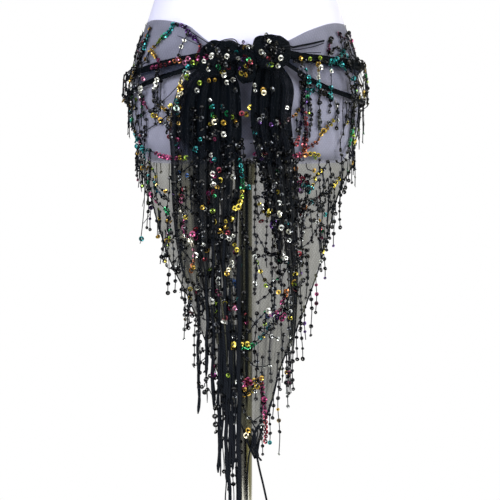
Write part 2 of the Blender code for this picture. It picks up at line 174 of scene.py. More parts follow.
def object_place(tree):
    """The place on the piece, in metres from the origin."""
    return add_node(tree, "ShaderNodeTexCoord").outputs["Object"]


def noise(tree, place, scale, detail=2.0):
    """The value of a noise texture."""
    inputs = {"Vector": place, "Scale": scale, "Detail": detail}
    return add_node(tree, "ShaderNodeTexNoise", inputs).outputs[0]


def bands_along(tree, direction, place, repeat, distortion, detail=2.0):
    """The outputs of a wave texture, colour and value, that repeats every `repeat` metres."""
    inputs = {"Vector": place, "Scale": WAVE_REPEAT / repeat, "Distortion": distortion, "Detail": detail}
    return add_node(tree, "ShaderNodeTexWave", inputs, wave_type="BANDS", bands_direction=direction).outputs


def mixed(tree, share, first, second):
    """A mix of two colours, each a hex code or an output."""
    first, second = (linear(c) if isinstance(c, str) else c for c in (first, second))
    return add_node(tree, "ShaderNodeMix", {0: share, 6: first, 7: second}, data_type="RGBA").outputs[2]


def ranged(tree, value, low, high, start=0.0, end=1.0):
    """`value` moved from the range start to end into the range low to high."""
    inputs = {"Value": value, "From Min": start, "From Max": end, "To Min": low, "To Max": high}
    return add_node(tree, "ShaderNodeMapRange", inputs).outputs[0]


def calculate(tree, operation, *values, **settings):
    """A sum worked out on one, two or three values."""
    inputs = dict(enumerate(values))
    return add_node(tree, "ShaderNodeMath", inputs, operation=operation, **settings).outputs[0]


def attribute(tree, name, output="Fac"):
    """A value that the mesh carries at each point."""
    return add_node(tree, "ShaderNodeAttribute", attribute_name=name).outputs[output]


def new_material(name):
    """An empty node material and its tree."""
    made = bpy.data.materials.new(name)
    made.use_nodes = True
    made.node_tree.nodes.clear()
    return made, made.node_tree


def principled(tree, inputs, bump=None):
    """Ends a material's tree with a principled surface, and a bump if one is given."""
    shader = add_node(tree, "ShaderNodeBsdfPrincipled", inputs)
    if bump:
        relief = add_node(tree, "ShaderNodeBump", bump)
        tree.links.new(relief.outputs["Normal"], shader.inputs["Normal"])
    add_node(tree, "ShaderNodeOutputMaterial", {"Surface": shader.outputs["BSDF"]})


# %% [markdown]
# ## Camera, floor and light
#
# The belt is looked at straight on, from a few metres away with a long lens and from a little below
# the form's foot, in front of white. Four soft boxes light it. What the sequins and the steel reflect
# is a plain room: dark behind the camera, bright on the right and grey on the left, which gives them
# something bright and something dark. The floor is a plain pale sheet that meets the white.

# %% Camera, lights, floor
FRAME_WIDTH = 0.75
CAMERA_AWAY = 3.6
CAMERA_HEIGHT = 0.528
CAMERA_SIDE = 0.00675
SENSOR = 36.0
LIT_HEIGHT = 0.6
SOFT_BOXES = {
    "left": {"place": (-2.0, -2.3, 1.6), "size": 1.5, "power": 70},
    "right": {"place": (2.1, -2.1, 1.4), "size": 1.3, "power": 56},
    "high": {"place": (0.3, -2.6, 2.7), "size": 1.0, "power": 36},
    "behind": {"place": (0.2, 2.2, 1.9), "size": 1.6, "power": 45},
}
ROOM_WALLS = (
    (-180, "8C8C88"), (-95, "6A6A68"), (-78, "7A7A78"), (-34, "7A7A78"), (-25, "0C0C0C"),
    (24, "0C0C0C"), (34, "B8B27A"), (80, "AEA87A"), (180, "9C9C96"),
)

lens = bpy.data.cameras.new("camera")
lens.sensor_width = SENSOR
lens.lens = SENSOR * CAMERA_AWAY / FRAME_WIDTH
camera = bpy.data.objects.new("camera", lens)
camera.location = (CAMERA_SIDE, -CAMERA_AWAY, CAMERA_HEIGHT)
camera.rotation_euler = (math.pi / 2, 0, 0)
scene.collection.objects.link(camera)
scene.camera = camera

for side, row in SOFT_BOXES.items():
    box = bpy.data.lights.new(f"soft_box_{side}", "AREA")
    box.size = row["size"]
    box.energy = row["power"]
    light = bpy.data.objects.new(f"soft_box_{side}", box)
    light.location = row["place"]
    toward = Vector((0, 0, LIT_HEIGHT)) - Vector(row["place"])
    light.rotation_euler = toward.to_track_quat("-Z", "Y").to_euler()
    scene.collection.objects.link(light)

room = bpy.data.worlds.new("white_room")
room.use_nodes = True
tree = room.node_tree
tree.nodes.clear()
generated = add_node(tree, "ShaderNodeTexCoord").outputs["Generated"]
way = add_node(tree, "ShaderNodeSeparateXYZ", {0: generated}).outputs
bearing = calculate(tree, "ARCTAN2", way["X"], calculate(tree, "MULTIPLY", way["Y"], -1.0))
walls = add_node(tree, "ShaderNodeValToRGB", {"Fac": ranged(tree, bearing, 0.0, 1.0, -math.pi, math.pi)})
stops = walls.color_ramp.elements
for degrees, code in ROOM_WALLS:
    stops.new((degrees + 180) / 360).color = linear(code)
stops.remove(stops[0])
stops.remove(stops[-1])
seen = add_node(tree, "ShaderNodeLightPath").outputs["Is Camera Ray"]
shown = mixed(tree, seen, walls.outputs[0], "FFFFFF")
glow = add_node(tree, "ShaderNodeBackground", {"Color": shown, "Strength": 1.0})
add_node(tree, "ShaderNodeOutputWorld", {"Surface": glow.outputs["Background"]})
scene.world = room
scene.view_settings.view_transform = "Standard"

FLOOR_HALF = 1.4
paper, tree = new_material("white_studio_paper")
principled(
    tree,
    {
        "Base Color": mixed(tree, noise(tree, object_place(tree), 3.0), "F4F4F4", "F8F8F8"),
        "Roughness": 0.9,
        "Emission Color": (1, 1, 1, 1),
        "Emission Strength": 0.55,
    },
)
corners = [(FLOOR_HALF * x, FLOOR_HALF * y, 0) for x, y in ((-1, -1), (1, -1), (1, 1), (-1, 1))]
floor_mesh = bpy.data.meshes.new("floor")
floor_mesh.from_pydata(corners, [], [(0, 1, 2, 3)])
floor_mesh.materials.append(paper)
floor = bpy.data.objects.new("floor", floor_mesh)
scene.collection.objects.link(floor)
print("camera", tuple(camera.location), "lens", round(lens.lens, 1))

# %% [markdown]
# ## Steel of the stand
#
# The pole, its collar and socket and the round plate are chromed steel. Chrome is almost a mirror:
# what the eye sees is the room, with fine polishing marks that draw the reflections out a little.
# The CAD solids have the right shape, so they stay, and only their material changes.

# %% Chromed steel
chrome, tree = new_material("chromed_steel_polished")
drawn_out = add_node(tree, "ShaderNodeMapping", {"Vector": object_place(tree), "Scale": (400, 400, 6)})
marks = noise(tree, drawn_out.outputs[0], 1.0, 3.0)
principled(
    tree,
    {
        "Base Color": mixed(tree, marks, "B2B1A8", "95948B"),
        "Metallic": 1.0,
        "Roughness": ranged(tree, marks, 0.05, 0.12),
    },
    bump={"Height": marks, "Strength": 0.05},
)
for name in ("base_plate", "base_collar", "pole", "form_socket"):
    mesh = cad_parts[name].data
    mesh.materials.clear()
    mesh.materials.append(chrome)

# %% [markdown]
# ## Meshes for cloth
#
# Each stretch of net is a thin open sheet. Its points come as rows and columns, worked out by a
# function for that stretch, which keeps folds where they belong and is quick. Each sheet carries a
# UV map in metres, for the net's own pattern, and a value called `gather` at each point: 0 for one
# stretched layer, 1 for many gathered layers, which let hardly any light through, and -1 where there
# is no cloth.

# %% A sheet from rows and columns of points


def quads_of(order):
    """The four corners of each face, from point numbers in rows and columns."""
    return np.stack((order[:-1, :-1], order[:-1, 1:], order[1:, 1:], order[1:, :-1]), -1).reshape(-1, 4)


def sheet_mesh(name, points, gather, material, wrap=False):
    """A smooth sheet through an array of rows, columns and xyz, with its faces outward."""
    rows, columns = points.shape[:2]
    order = np.arange(rows * columns).reshape(rows, columns)
    if wrap:
        order = np.concatenate([order, order[:, :1]], axis=1)
    quads = quads_of(order)
    flat = points.reshape(-1, 3)
    corners = flat[quads]
    normals = np.cross(corners[:, 2] - corners[:, 0], corners[:, 3] - corners[:, 1])
    centre = flat.mean(axis=0) if wrap else np.zeros(3)
    away = (corners.mean(axis=1) - centre) * (1, 1, 1 if wrap else 0)
    flip = -1 if (normals * away).sum() < 0 else 1
    mesh = bpy.data.meshes.new(name)
    mesh.from_pydata(flat.tolist(), [], quads[:, ::flip].tolist())
    across = np.linalg.norm(np.diff(points, axis=1), axis=-1)
    across = np.concatenate([np.zeros((rows, 1)), np.cumsum(across, axis=1)], axis=1)
    across -= across[:, columns // 2, None]
    down = np.linalg.norm(np.diff(points[:, columns // 2], axis=0), axis=-1)
    down = np.concatenate([[0.0], np.cumsum(down)])[:, None] + np.zeros((rows, columns))
    uv = np.stack((across, -down), -1)
    if wrap:
        seam = across[:, -1:] + (across[:, -1:] - across[:, -2:-1])
        uv = np.concatenate([uv, np.stack((seam, -down[:, :1]), -1)], axis=1)
    uv_quads = quads_of(np.arange(uv.shape[0] * uv.shape[1]).reshape(uv.shape[:2]))[:, ::flip]
    layer = mesh.uv_layers.new(name="cloth")
    layer.data.foreach_set("uv", uv.reshape(-1, 2)[uv_quads.ravel()].astype(np.float32).ravel())
    value = mesh.attributes.new("gather", "FLOAT", "POINT")
    value.data.foreach_set("value", np.broadcast_to(gather, (rows, columns)).astype(np.float32).ravel())
    mesh.shade_smooth()
    mesh.materials.append(material)
    made = bpy.data.objects.new(name, mesh)
    scene.collection.objects.link(made)
    return made


def mesh_area(piece):
    """The area of all the faces of a piece."""
    return sum(face.area for face in piece.data.polygons)


def wander(at, seed, *waves):
    """A slow uneven value from a few sine waves: pairs of a length and a height, each with its own start."""
    starts = np.random.default_rng(seed).uniform(0, math.tau, len(waves))
    return sum(high * np.sin(math.tau * at / long + start) for (long, high), start in zip(waves, starts))


# %% [markdown]
# ## Jersey cover of the form
#
# The form is foam under a tight cover of white cotton jersey. Foam forms are sewn in two halves, so
# a flat seam runs down each side, and the cover is turned under at the foot. The knit is far too
# fine to see from here, so its ribs are drawn about three times as wide as they are, just enough for
# a soft bloom. The cover is a closed padded shape a little smoother than the CAD solid.

# %% Cotton jersey
KNIT_RIB = 0.0030

jersey, tree = new_material("cotton_jersey_knitted_white")
place = object_place(tree)
ribs = bands_along(tree, "Z", place, KNIT_RIB, 1.5, 1.0)[0]
principled(
    tree,
    {
        # The white jersey is tinted lavender, a painted cool cast of its shade; where it is brightly lit it
        # still reads as white.
        "Base Color": mixed(tree, noise(tree, place, 9.0), "D9DAF8", "E1E2FD"),
        "Roughness": 0.85,
        "Sheen Weight": 0.08,
        "Sheen Roughness": 0.5,
    },
    bump={"Height": ribs, "Strength": 0.12, "Distance": 0.0004},
)

# %% [markdown]
# The cover follows the form's table, with a shallow dip at each side seam. Its foot is rounded over
# tightly and its top softly, as a turned edge and a foam edge are. Flat faces close both ends.

# %% The covered form
COVER_AROUND = 180
SEAM_HALF_WIDTH = 1.1
SEAM_DIP = 0.0006
FOOT_ROUNDING = 0.005
TOP_ROUNDING = 0.018
COVER_MIDDLE = 0.8


def rounded_in(height):
    """How far the cover is drawn in by its rounded foot and top."""
    total = np.zeros_like(height)
    for radius, from_end in ((FOOT_ROUNDING, height - FORM_FOOT), (TOP_ROUNDING, FORM_TOP - height)):
        short = np.clip(radius - from_end, 0, radius)
        total += radius - np.sqrt(radius**2 - short**2)
    return total


heights = np.concatenate(
    [
        FORM_FOOT + FOOT_ROUNDING * (1 - np.cos(np.linspace(0, math.pi / 2, 6))),
        np.linspace(FORM_FOOT + 0.009, FORM_TOP - TOP_ROUNDING - 0.003, 76),
        FORM_TOP - TOP_ROUNDING * (1 - np.sin(np.linspace(0, math.pi / 2, 9))),
    ]
)[:, None]
turns = np.linspace(0, 360, COVER_AROUND, endpoint=False)[None, :]
from_seam = np.abs((turns % 180) - 90)
dip = SEAM_DIP * np.exp(-((from_seam / SEAM_HALF_WIDTH) ** 2))
shell = around(turns, heights, heights, -rounded_in(heights) - dip)
cover = sheet_mesh("form_cover", shell, 0.0, jersey, wrap=True)
body = bmesh.new()
body.from_mesh(cover.data)
rims = [edge for edge in body.edges if edge.is_boundary]
bmesh.ops.contextual_create(body, geom=[edge for edge in rims if edge.verts[0].co.z < COVER_MIDDLE])
bmesh.ops.contextual_create(body, geom=[edge for edge in rims if edge.verts[0].co.z > COVER_MIDDLE])
bmesh.ops.recalc_face_normals(body, faces=body.faces)
body.to_mesh(cover.data)
body.free()
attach(cover, "root")
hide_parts("form_body")
print("cover faces", len(cover.data.polygons))

# %% [markdown]
# ## Black nylon net
#
# Power net is knitted from fine black nylon with holes of about a millimetre, so most of what is
# seen is what lies behind it. Modelling each hole would take millions of faces. Here the sheet's
# alpha does it: the share of the surface that thread covers, from a little under a half where one
# layer is stretched over the hips to nearly all where many layers are gathered. The net's diagonal
# mesh is drawn 3.6 mm wide, three times its size, so that it just shows. One layer's thread colour
# is a painted sheen: faintly blue over the white form and warm grey where it hangs free below it.
# Gathered, it is near black.

# %% Net
NET_MESH = 0.0036
GATHERED_COVER = 0.992
MESH_SHOWS = 0.07
MESH_MEAN = 0.68
PULL_SCALE = 60.0
PULL_SHOWS = 0.12
OVER_FORM, OFF_FORM = 0.668, 0.650
THIN, THICK = 0.66, 0.84

net, tree = new_material("nylon_power_net_black")
cloth_uv = add_node(tree, "ShaderNodeUVMap", uv_map="cloth").outputs[0]
gathered = attribute(tree, "gather")
diagonals = []
for lean in (40, -40):
    turned = {"Vector": cloth_uv, "Rotation": (0, 0, math.radians(lean))}
    laid = add_node(tree, "ShaderNodeMapping", turned).outputs[0]
    diagonals.append(bands_along(tree, "X", laid, NET_MESH, 0.0)[1])
lattice = calculate(tree, "MAXIMUM", *diagonals)
covered = ranged(tree, gathered, 0.0, GATHERED_COVER, -1.0)
pull = calculate(tree, "SUBTRACT", noise(tree, cloth_uv, PULL_SCALE), 0.5)
uneven = calculate(tree, "MULTIPLY_ADD", pull, PULL_SHOWS, covered)
weave = calculate(tree, "SUBTRACT", lattice, MESH_MEAN)
height = add_node(tree, "ShaderNodeSeparateXYZ", {0: object_place(tree)}).outputs["Z"]
# One layer's colour is a painted sheen: bluish over the form, warm grey below its foot.
single_layer_painted_sheen = mixed(tree, ranged(tree, height, 0.0, 1.0, OVER_FORM, OFF_FORM), "22293C", "44443A")
principled(
    tree,
    {
        "Base Color": mixed(tree, ranged(tree, gathered, 0.0, 1.0, THIN, THICK), single_layer_painted_sheen, "05090F"),
        "Roughness": 0.62,
        "Specular IOR Level": 0.04,
        "Sheen Weight": 0.004,
        "Sheen Roughness": 0.4,
        "Sheen Tint": linear("8A90C0"),
        "Alpha": calculate(tree, "MULTIPLY_ADD", weave, MESH_SHOWS, uneven, use_clamp=True),
    },
    bump={"Height": lattice, "Strength": 0.25, "Distance": 0.0004},
)


def net_piece(stretch, points, gather):
    """One stretch of the net, in the place of the CAD solid of that name."""
    made = sheet_mesh(f"net_{stretch}", points, gather, net)
    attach(made, "root")
    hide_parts(stretch)
    print(made.name, len(made.data.polygons), "faces,", round(mesh_area(made), 4), "square metres")
    return made


# %% [markdown]
# ## Front panel
#
# The middle of the triangle covers the front of the hips, dips below the knot, and hangs in front of
# the pole down to its corner. On the hips it is stretched smooth, with a few faint creases drawn
# towards the knot. Below the form it hangs slack in soft upright folds that come together towards
# the corner, and its cut edges wave a little. It covers more between the tails and in the corner,
# which is rolled up. In front of the pole it is made denser in upright stripes, a painted shade and
# painted reflections of the pole seen through it, and low down right of the pole it covers a little more.

# %% Front panel
INNER_LAYER = 0.0013
OUTER_LAYER = 0.0040
NET = 0.0012
TOP_EDGE = {
    "angle": (-90, -66, -46, -32, -20, 0, 20, 34, 52, 90),
    "height": (0.866, 0.869, 0.8645, 0.855, 0.833, 0.812, 0.830, 0.847, 0.8605, 0.8645),
}
LEGS = {
    "height": (0.224, 0.240, 0.266, 0.302, 0.359, 0.404, 0.461, 0.504, 0.557, 0.625, 0.660, 0.690),
    "left": (0.0145, 0.0065, -0.003, -0.019, -0.044, -0.062, -0.086, -0.108, -0.127, -0.146, -0.1618, -0.163),
    "right": (0.0165, 0.0185, 0.024, 0.037, 0.053, 0.072, 0.094, 0.109, 0.123, 0.143, 0.1618, 0.163),
}
PANEL_FOOT = LEGS["height"][0]
PANEL_COLUMNS = 151
FOLD_STAND = 0.004
FOLDS = {
    "top": (-0.122, -0.078, -0.028, 0.034, 0.086, 0.128),
    "foot": (-0.060, -0.034, -0.008, 0.015, 0.036, 0.060),
    "width": (0.020, 0.017, 0.019, 0.017, 0.019, 0.016),
    "depth": (0.0050, -0.0045, 0.0055, -0.0050, 0.0055, -0.0040),
}
CUT_WAVE = 0.0016
CUT_WAVE_LENGTH = {"left": 0.021, "right": 0.024}
EDGE_WAVE = 0.0022
EDGE_WAVE_LENGTH = 0.043
POLE_MIDDLE = 0.0005
POLE_SHOWS = 0.0105


def fold_depth(x, height):
    """How far the hanging net stands out at this place, from its large folds and its ripples."""
    fall = np.clip((FORM_FOOT - height) / (FORM_FOOT - PANEL_FOOT), 0, 1)
    left, right = edges(LEGS, height)
    total = FOLD_STAND + 0.0 * x
    for top, foot, width, depth in zip(*FOLDS.values()):
        middle = top + (foot - top) * fall
        total = total + depth * np.exp(-(((x - middle) / width) ** 2))
    ripples = wander(x / (1.0 - 0.62 * fall), 3, (0.031, 0.0011), (0.017, 0.0007), (0.0095, 0.0003))
    free = below(height, 0.672, 0.600)
    grown = below(height, 0.650, 0.480) * 0.85 + 0.15 * free
    return (total + ripples * free) * grown * ease(right - left, 0.0, 0.12)


def on_panel(x, height, out=0.0):
    """A point on the net of the front, or `out` metres in front of it."""
    return front(x, height, INNER_LAYER + out + np.where(height < FORM_FOOT, fold_depth(x, height), 0.0))


angles = np.linspace(-90, 90, PANEL_COLUMNS)[None, :]
down = np.linspace(0, 1, 64)[:, None]
top = smooth(TOP_EDGE, "height", angles)
levels = top + (HANG_HEIGHT - top) * (1 - (1 - down) ** 1.2)
crease_run = np.sin(np.radians(angles)) * 0.17
creases = 0.0005 * np.clip(wander(levels + 0.35 * np.abs(crease_run), 5, (0.034, 0.8), (0.019, 0.5)), 0, 2)
creases = creases * ease(np.abs(angles), 15, 50) * ease(levels, 0.68, 0.72)
on_hips = draped(angles, levels, INNER_LAYER + creases)

hang = np.linspace(HANG_HEIGHT - 0.003, PANEL_FOOT, 170)[:, None]
reach = np.linspace(0, 1, PANEL_COLUMNS)[None, :]
left, right = (
    smooth(LEGS, side, hang) + CUT_WAVE * np.sin(math.tau * hang / length) * below(hang, 0.66, 0.6)
    for side, length in CUT_WAVE_LENGTH.items()
)
rim = smooth(FORM, "half_width", HANG_HEIGHT) + INNER_LAYER
bearing = turn_of(left, hang, INNER_LAYER) * (1 - reach) + turn_of(right, hang, INNER_LAYER) * reach
turned = rim * np.sin(np.radians(bearing))
blend = below(hang, 0.690, 0.560)
across = turned * (1 - blend) + (left + (right - left) * reach) * blend
edge_wave = EDGE_WAVE * np.sin(math.tau * hang / EDGE_WAVE_LENGTH + 6 * reach) * np.abs(2 * reach - 1) ** 6
edge_wave = edge_wave * below(hang, 0.650, 0.560)
hanging = on_panel(across, hang + 0.0 * across, edge_wave)

fold_slope = np.abs(np.gradient(fold_depth(across, hang + 0.0 * across), axis=1))
steep = fold_slope / (np.abs(np.gradient(across, axis=1)) + 1e-5)
drawn_in = across / (1.0 - 0.5 * below(hang, 0.66, 0.23))
slack = 0.52 + 0.15 * np.clip(steep, 0, 1) + wander(drawn_in, 8, (0.047, 0.03), (0.013, 0.03))
between_tails = 0.40 * np.exp(-((crease_run / 0.024) ** 2)) * below(levels, 0.81, 0.78)
hip_gather = 0.03 - 0.12 * below(levels, 0.802, 0.775)
rolled_corner = 0.42 * below(hang, 0.264, 0.244)
# Painted shade of the pole seen through the net: denser in front of it, in upright stripes like its dark and
# light reflections.
pole_painted_shade = np.exp(-(((across - POLE_MIDDLE) / POLE_SHOWS) ** 2)) * ease(hang, 0.27, 0.33)
pole_painted_shade = pole_painted_shade * (0.27 + 0.10 * np.sin(math.tau * across / 0.0068))
# Low down and right of the pole the net covers a little more.
pole_painted_shade = pole_painted_shade + 0.12 * ease(across, 0.008, 0.025) * below(hang, 0.46, 0.40)
hang_gather = -0.09 + (slack + 0.09 + pole_painted_shade) * below(hang, 0.672, 0.655) + rolled_corner
panel = net_piece(
    "front_panel",
    np.concatenate([on_hips, hanging]),
    np.concatenate([hip_gather + 60 * creases + between_tails, np.clip(hang_gather, -1, 1)]),
)

# %% [markdown]
# ## Wings on the back
#
# From the side seams the two long arms of the triangle go round the back and cross below its middle.
# Each narrows from the full depth at the side to a hand's width at the back, where it rises over the
# other. The same function makes both, with a few creases along the pull and a roll at each edge.

# %% Wings
WINGS = {
    "left": {
        "angle": (90, 110, 130, 150, 165, 180),
        "top": (0.866, 0.862, 0.846, 0.815, 0.796, 0.789),
        "foot": (0.660, 0.678, 0.702, 0.724, 0.734, 0.738),
    },
    "right": {
        "angle": (90, 110, 130, 150, 165, 180),
        "top": (0.8645, 0.863, 0.858, 0.849, 0.844, 0.842),
        "foot": (0.660, 0.690, 0.732, 0.770, 0.790, 0.797),
    },
}
SIDES = {"left": -1, "right": 1}
LIFT_START = 171
UPPER_ROLL = 0.0057
LOWER_ROLL = 0.0042
ROLL_DEPTH = 0.0035


def wing_out(angle):
    """How far a wing stands off the form, which grows where it meets the other wing."""
    return INNER_LAYER + (OUTER_LAYER - INNER_LAYER) * ease(angle, LIFT_START, 180)


def wing(label, seed):
    """The sheet of one wing, from the side of the hips to the middle of the back."""
    angle = np.linspace(90, 180, 97)[None, :]
    share = np.linspace(0, 1, 72)[:, None]
    head, foot = edges(WINGS[label], angle, "top", "foot")
    level = head + (foot - head) * share
    pulled = np.clip(wander(share + 0.0 * angle, seed, (0.31, 0.7), (0.17, 0.6), (0.09, 0.3)), 0, 2)
    pulled = pulled * ease(angle, 96, 150) * np.sin(math.pi * share)
    rolled = ease(angle, 122, 168)
    in_upper = (head - level) / UPPER_ROLL - 1
    in_lower = (level - foot) / LOWER_ROLL - 1
    bulge = np.sqrt(np.clip(1 - in_upper**2, 0, 1)) + np.sqrt(np.clip(1 - in_lower**2, 0, 1))
    out = wing_out(angle) + 0.0006 * pulled + 1.4 * ROLL_DEPTH * rolled * bulge
    layers = below(in_upper, 1.6, 0.9) + below(in_lower, 1.6, 0.9)
    gather = np.clip(0.03 + 0.10 * pulled + 0.92 * layers * rolled, 0, 1)
    return net_piece(f"wing_{label}", draped(SIDES[label] * angle, level, out), gather)


wings = {"left": wing("left", 12), "right": wing("right", 13)}

# %% [markdown]
# ## Gathered bands
#
# The ends of the triangle come forward again over the wings, pulled tight. A pulled strip of net
# rolls in on itself at both edges, and between the rolls it stays a thin web. One sheet makes all of
# it: seen in section it winds out of the upper roll, runs down as the web and winds into the
# lower roll. Its folds twist slowly along the pull, as in a wrung towel.

# %% Bands
BANDS = {
    "left": {
        "angle": (18, 28, 56, 90, 130, 165, 180),
        "upper": (0.8115, 0.809, 0.796, 0.787, 0.806, 0.833, 0.8365),
        "lower": (0.7980, 0.792, 0.773, 0.755, 0.773, 0.799, 0.8010),
    },
    "right": {
        "angle": (18, 27, 41, 62, 90, 130, 165, 180),
        "upper": (0.8150, 0.8115, 0.809, 0.8057, 0.803, 0.796, 0.7855, 0.7835),
        "lower": (0.8010, 0.7860, 0.7667, 0.754, 0.748, 0.742, 0.7415, 0.7420),
    },
}
KNOT_RISE = 0.010
KNOT_RISE_ANGLE = 14
WINDS = 1.3
WIND_STEPS = 40
WEB_STEPS = 26
ROLL_GATHER = 0.97
SHOULDER = {"left": 0.0, "right": 1.6}
BAND_SPANS = (
    ("front", "left", 17, 90, 21), ("front", "right", 17, 90, 24),
    ("back", "left", 90, 180, 27), ("back", "right", 90, 180, 30),
)


def wound(radius_high, inward):
    """Heights and depths of a spiral of net round a roll, from its middle to its outside."""
    turn = np.linspace(0, 1, WIND_STEPS)
    size = 0.35 + 0.65 * turn
    swing = math.tau * WINDS * (turn - 1) * inward
    return size * radius_high * np.cos(swing), size * ROLL_DEPTH * -np.sin(swing)


def band(part, label, start, end, seed):
    """Half of a gathered end, from one angle to another: `part` is front or back."""
    table = BANDS[label]
    near_knot = table["angle"][0]
    angle = np.linspace(start, end, int(abs(end - start) * 1.6) + 2)[:, None]
    upper, lower = edges(table, angle, "upper", "lower")
    gap = upper - UPPER_ROLL - lower - LOWER_ROLL
    high_u, deep_u = wound(UPPER_ROLL, 1.0)
    high_l, deep_l = wound(LOWER_ROLL, -1.0)
    along = np.linspace(0, 1, WIND_STEPS)[None, :] * 3
    fold_u = 1 + wander(along + angle / 40, seed, (0.9, 0.10), (0.37, 0.06))
    fold_l = 1 + wander(along - angle / 33, seed + 1, (0.8, 0.10), (0.41, 0.06))
    web = np.linspace(0, 1, WEB_STEPS + 2)[1:-1][None, :]
    ruck = np.abs(0.0007 * wander(web * 4 + angle / 60, seed + 2, (0.9, 0.8), (0.47, 0.6)))
    base = OUTER_LAYER + NET + KNOT_RISE * (1 - ease(angle, near_knot, near_knot + KNOT_RISE_ANGLE))
    on_web = upper - UPPER_ROLL - gap * web
    level = [upper - high_u * fold_u, on_web, (lower + high_l * fold_l)[:, ::-1]]
    roll_base = base + ROLL_DEPTH - 0.0004
    depth = [roll_base + deep_u * fold_u, base + 0.0008 + ruck, (roll_base + deep_l * fold_l)[:, ::-1]]
    thin = 0.10 - 1.05 * ease(gap, 0.009, 0.024) + 0.22 * np.abs(2 * web - 1) ** 2 + 110 * ruck
    thin = thin + (0.9 - thin) * (1 - ease(gap, 0.000, 0.010))
    shoulder = SHOULDER[label] * (1 - ease(web, 0.06, 0.30)) * (1 - ease(angle, 78, 100))
    thin = np.clip(thin, -0.90, 1) + shoulder
    thin = thin + (0.03 - thin) * ease(angle, 115, 165)
    rolls = np.full((len(angle), WIND_STEPS), ROLL_GATHER)
    points = draped(SIDES[label] * angle, *(np.concatenate(parts, axis=1) for parts in (level, depth)))
    return net_piece(f"band_{part}_{label}", points, np.concatenate([rolls, thin, rolls], axis=1))


bands = {f"{part}_{label}": band(part, label, *span) for part, label, *span in BAND_SPANS}

# %% [markdown]
# ## Knot
#
# The two ends are tied in one overhand knot. Each end puffs up before it goes into the middle, and
# the middle is a tight wrap. All three are tubes of gathered net whose folds run the way the cloth
# is pulled: across, for the two puffs, and round, for the middle.

# %% Knot
KNOT = {
    "left": {"x": -0.0390, "z": 0.8050, "out": 0.0240, "half": (0.0320, 0.0185, 0.0265), "folds": 7},
    "right": {"x": 0.0395, "z": 0.8145, "out": 0.0245, "half": (0.0300, 0.0190, 0.0250), "folds": 6},
    "core": {"x": 0.0010, "z": 0.7970, "out": 0.0270, "half": (0.0165, 0.0225, 0.0290), "folds": 5},
}


def lump_point(lump, across, turn, swell):
    """A point on a lump: `across` runs from -1 to 1 and `turn` goes round it."""
    half_x, half_out, half_z = lump["half"]
    out = lump["out"] + half_out * swell * np.cos(turn)
    return front(lump["x"] + half_x * across, lump["z"] + half_z * swell * np.sin(turn), out)


def knot_lump(label, seed, twist, outer):
    """A gathered puff. `outer` is the side its end leaves by: -1 left, 1 right, 0 for the round core."""
    lump = KNOT[label]
    across = np.linspace(-0.97, 0.97, 90)[:, None]
    turn = np.linspace(-0.97 * math.pi, 0.97 * math.pi, 180)[None, :]
    if outer:
        inward = -outer * across
        drawn_together = np.sqrt(1 - 0.7 * np.clip((inward - 0.5) / 0.5, 0, 1) ** 2)
        size = (0.60 + 0.40 * ease(inward, -1.0, -0.35)) * drawn_together
    else:
        size = np.sqrt(1 - 0.85 * np.abs(across) ** 2.6)
    size = size * np.sqrt(1 - 0.97 * np.clip((np.abs(across) - 0.85) / 0.12, 0, 1) ** 2)
    along = turn + 0.22 * np.sin(2 * turn + seed) + twist * across + 0.15 * np.sin(4 * across + seed)
    ridges = np.abs(np.sin(lump["folds"] * along / 2)) ** 0.7 - 0.65
    finer = np.abs(np.sin((1.5 * lump["folds"] + 2) * along + seed)) ** 0.8 - 0.6
    crush = 0.03 * np.sin(6.0 * across + 3 * np.sin(turn * 2 + seed)) * (1 - across**2)
    points = lump_point(lump, across, turn, size * (0.96 + 0.10 * ridges + 0.045 * finer + crush))
    return net_piece(f"knot_{label}", points, np.clip(0.95 + 0.14 * ridges + 0.12 * finer, 0.74, 1))


knots = [knot_lump("left", 1, 0.5, -1), knot_lump("right", 4, -0.6, 1), knot_lump("core", 7, 1.2, 0)]

# %% [markdown]
# ## Tails
#
# The free ends hang below the knot, gathered in pleats, and there are so many layers that they look
# black. Only a strip at the left edge is one or two layers deep and a few narrow gaps are parted
# between the pleats. The lower ends open out, let light through and are slit into strips. A sheet
# with deep pleats and finer ripples on them makes each tail.

# %% Tails
TAIL_OUT = 0.0150
TAIL_FLARE = 0.050
TAILS = {
    "left": {
        "height": (0.245, 0.310, 0.412, 0.528, 0.6585, 0.731, 0.772, 0.796),
        "left": (-0.038, -0.0585, -0.073, -0.103, -0.1125, -0.111, -0.094, -0.068),
        "right": (-0.010, -0.0077, -0.0077, -0.013, -0.0063, -0.0063, -0.0110, -0.024),
        "pleats": 5,
        "depth": 0.0040,
        "slit_from": 0.50,
        "strip_feet": (0.480, 0.450, 0.440, 0.372, 0.392, 0.330, 0.362, 0.300, 0.276, 0.330),
        "gaps": {
            "x": (-0.0178, -0.0155, -0.0520, -0.0385, -0.0300),
            "top": (0.662, 0.580, 0.540, 0.600, 0.520),
            "foot": (0.604, 0.545, 0.470, 0.560, 0.455),
            "half": (0.0016, 0.0014, 0.0016, 0.0012, 0.0013),
        },
    },
    "right": {
        "height": (0.376, 0.398, 0.4555, 0.5425, 0.6585, 0.7165, 0.778, 0.804),
        "left": (0.060, 0.0625, 0.064, 0.047, 0.018, 0.008, 0.013, 0.022),
        "right": (0.073, 0.0750, 0.079, 0.0792, 0.0764, 0.069, 0.0677, 0.047),
        "pleats": 4,
        "depth": 0.0035,
        "slit_from": 0.40,
        "strip_feet": (0.525, 0.392, 0.376),
        "gaps": {
            "x": (0.0265, 0.0575),
            "top": (0.645, 0.560),
            "foot": (0.600, 0.505),
            "half": (0.0014, 0.0012),
        },
    },
}


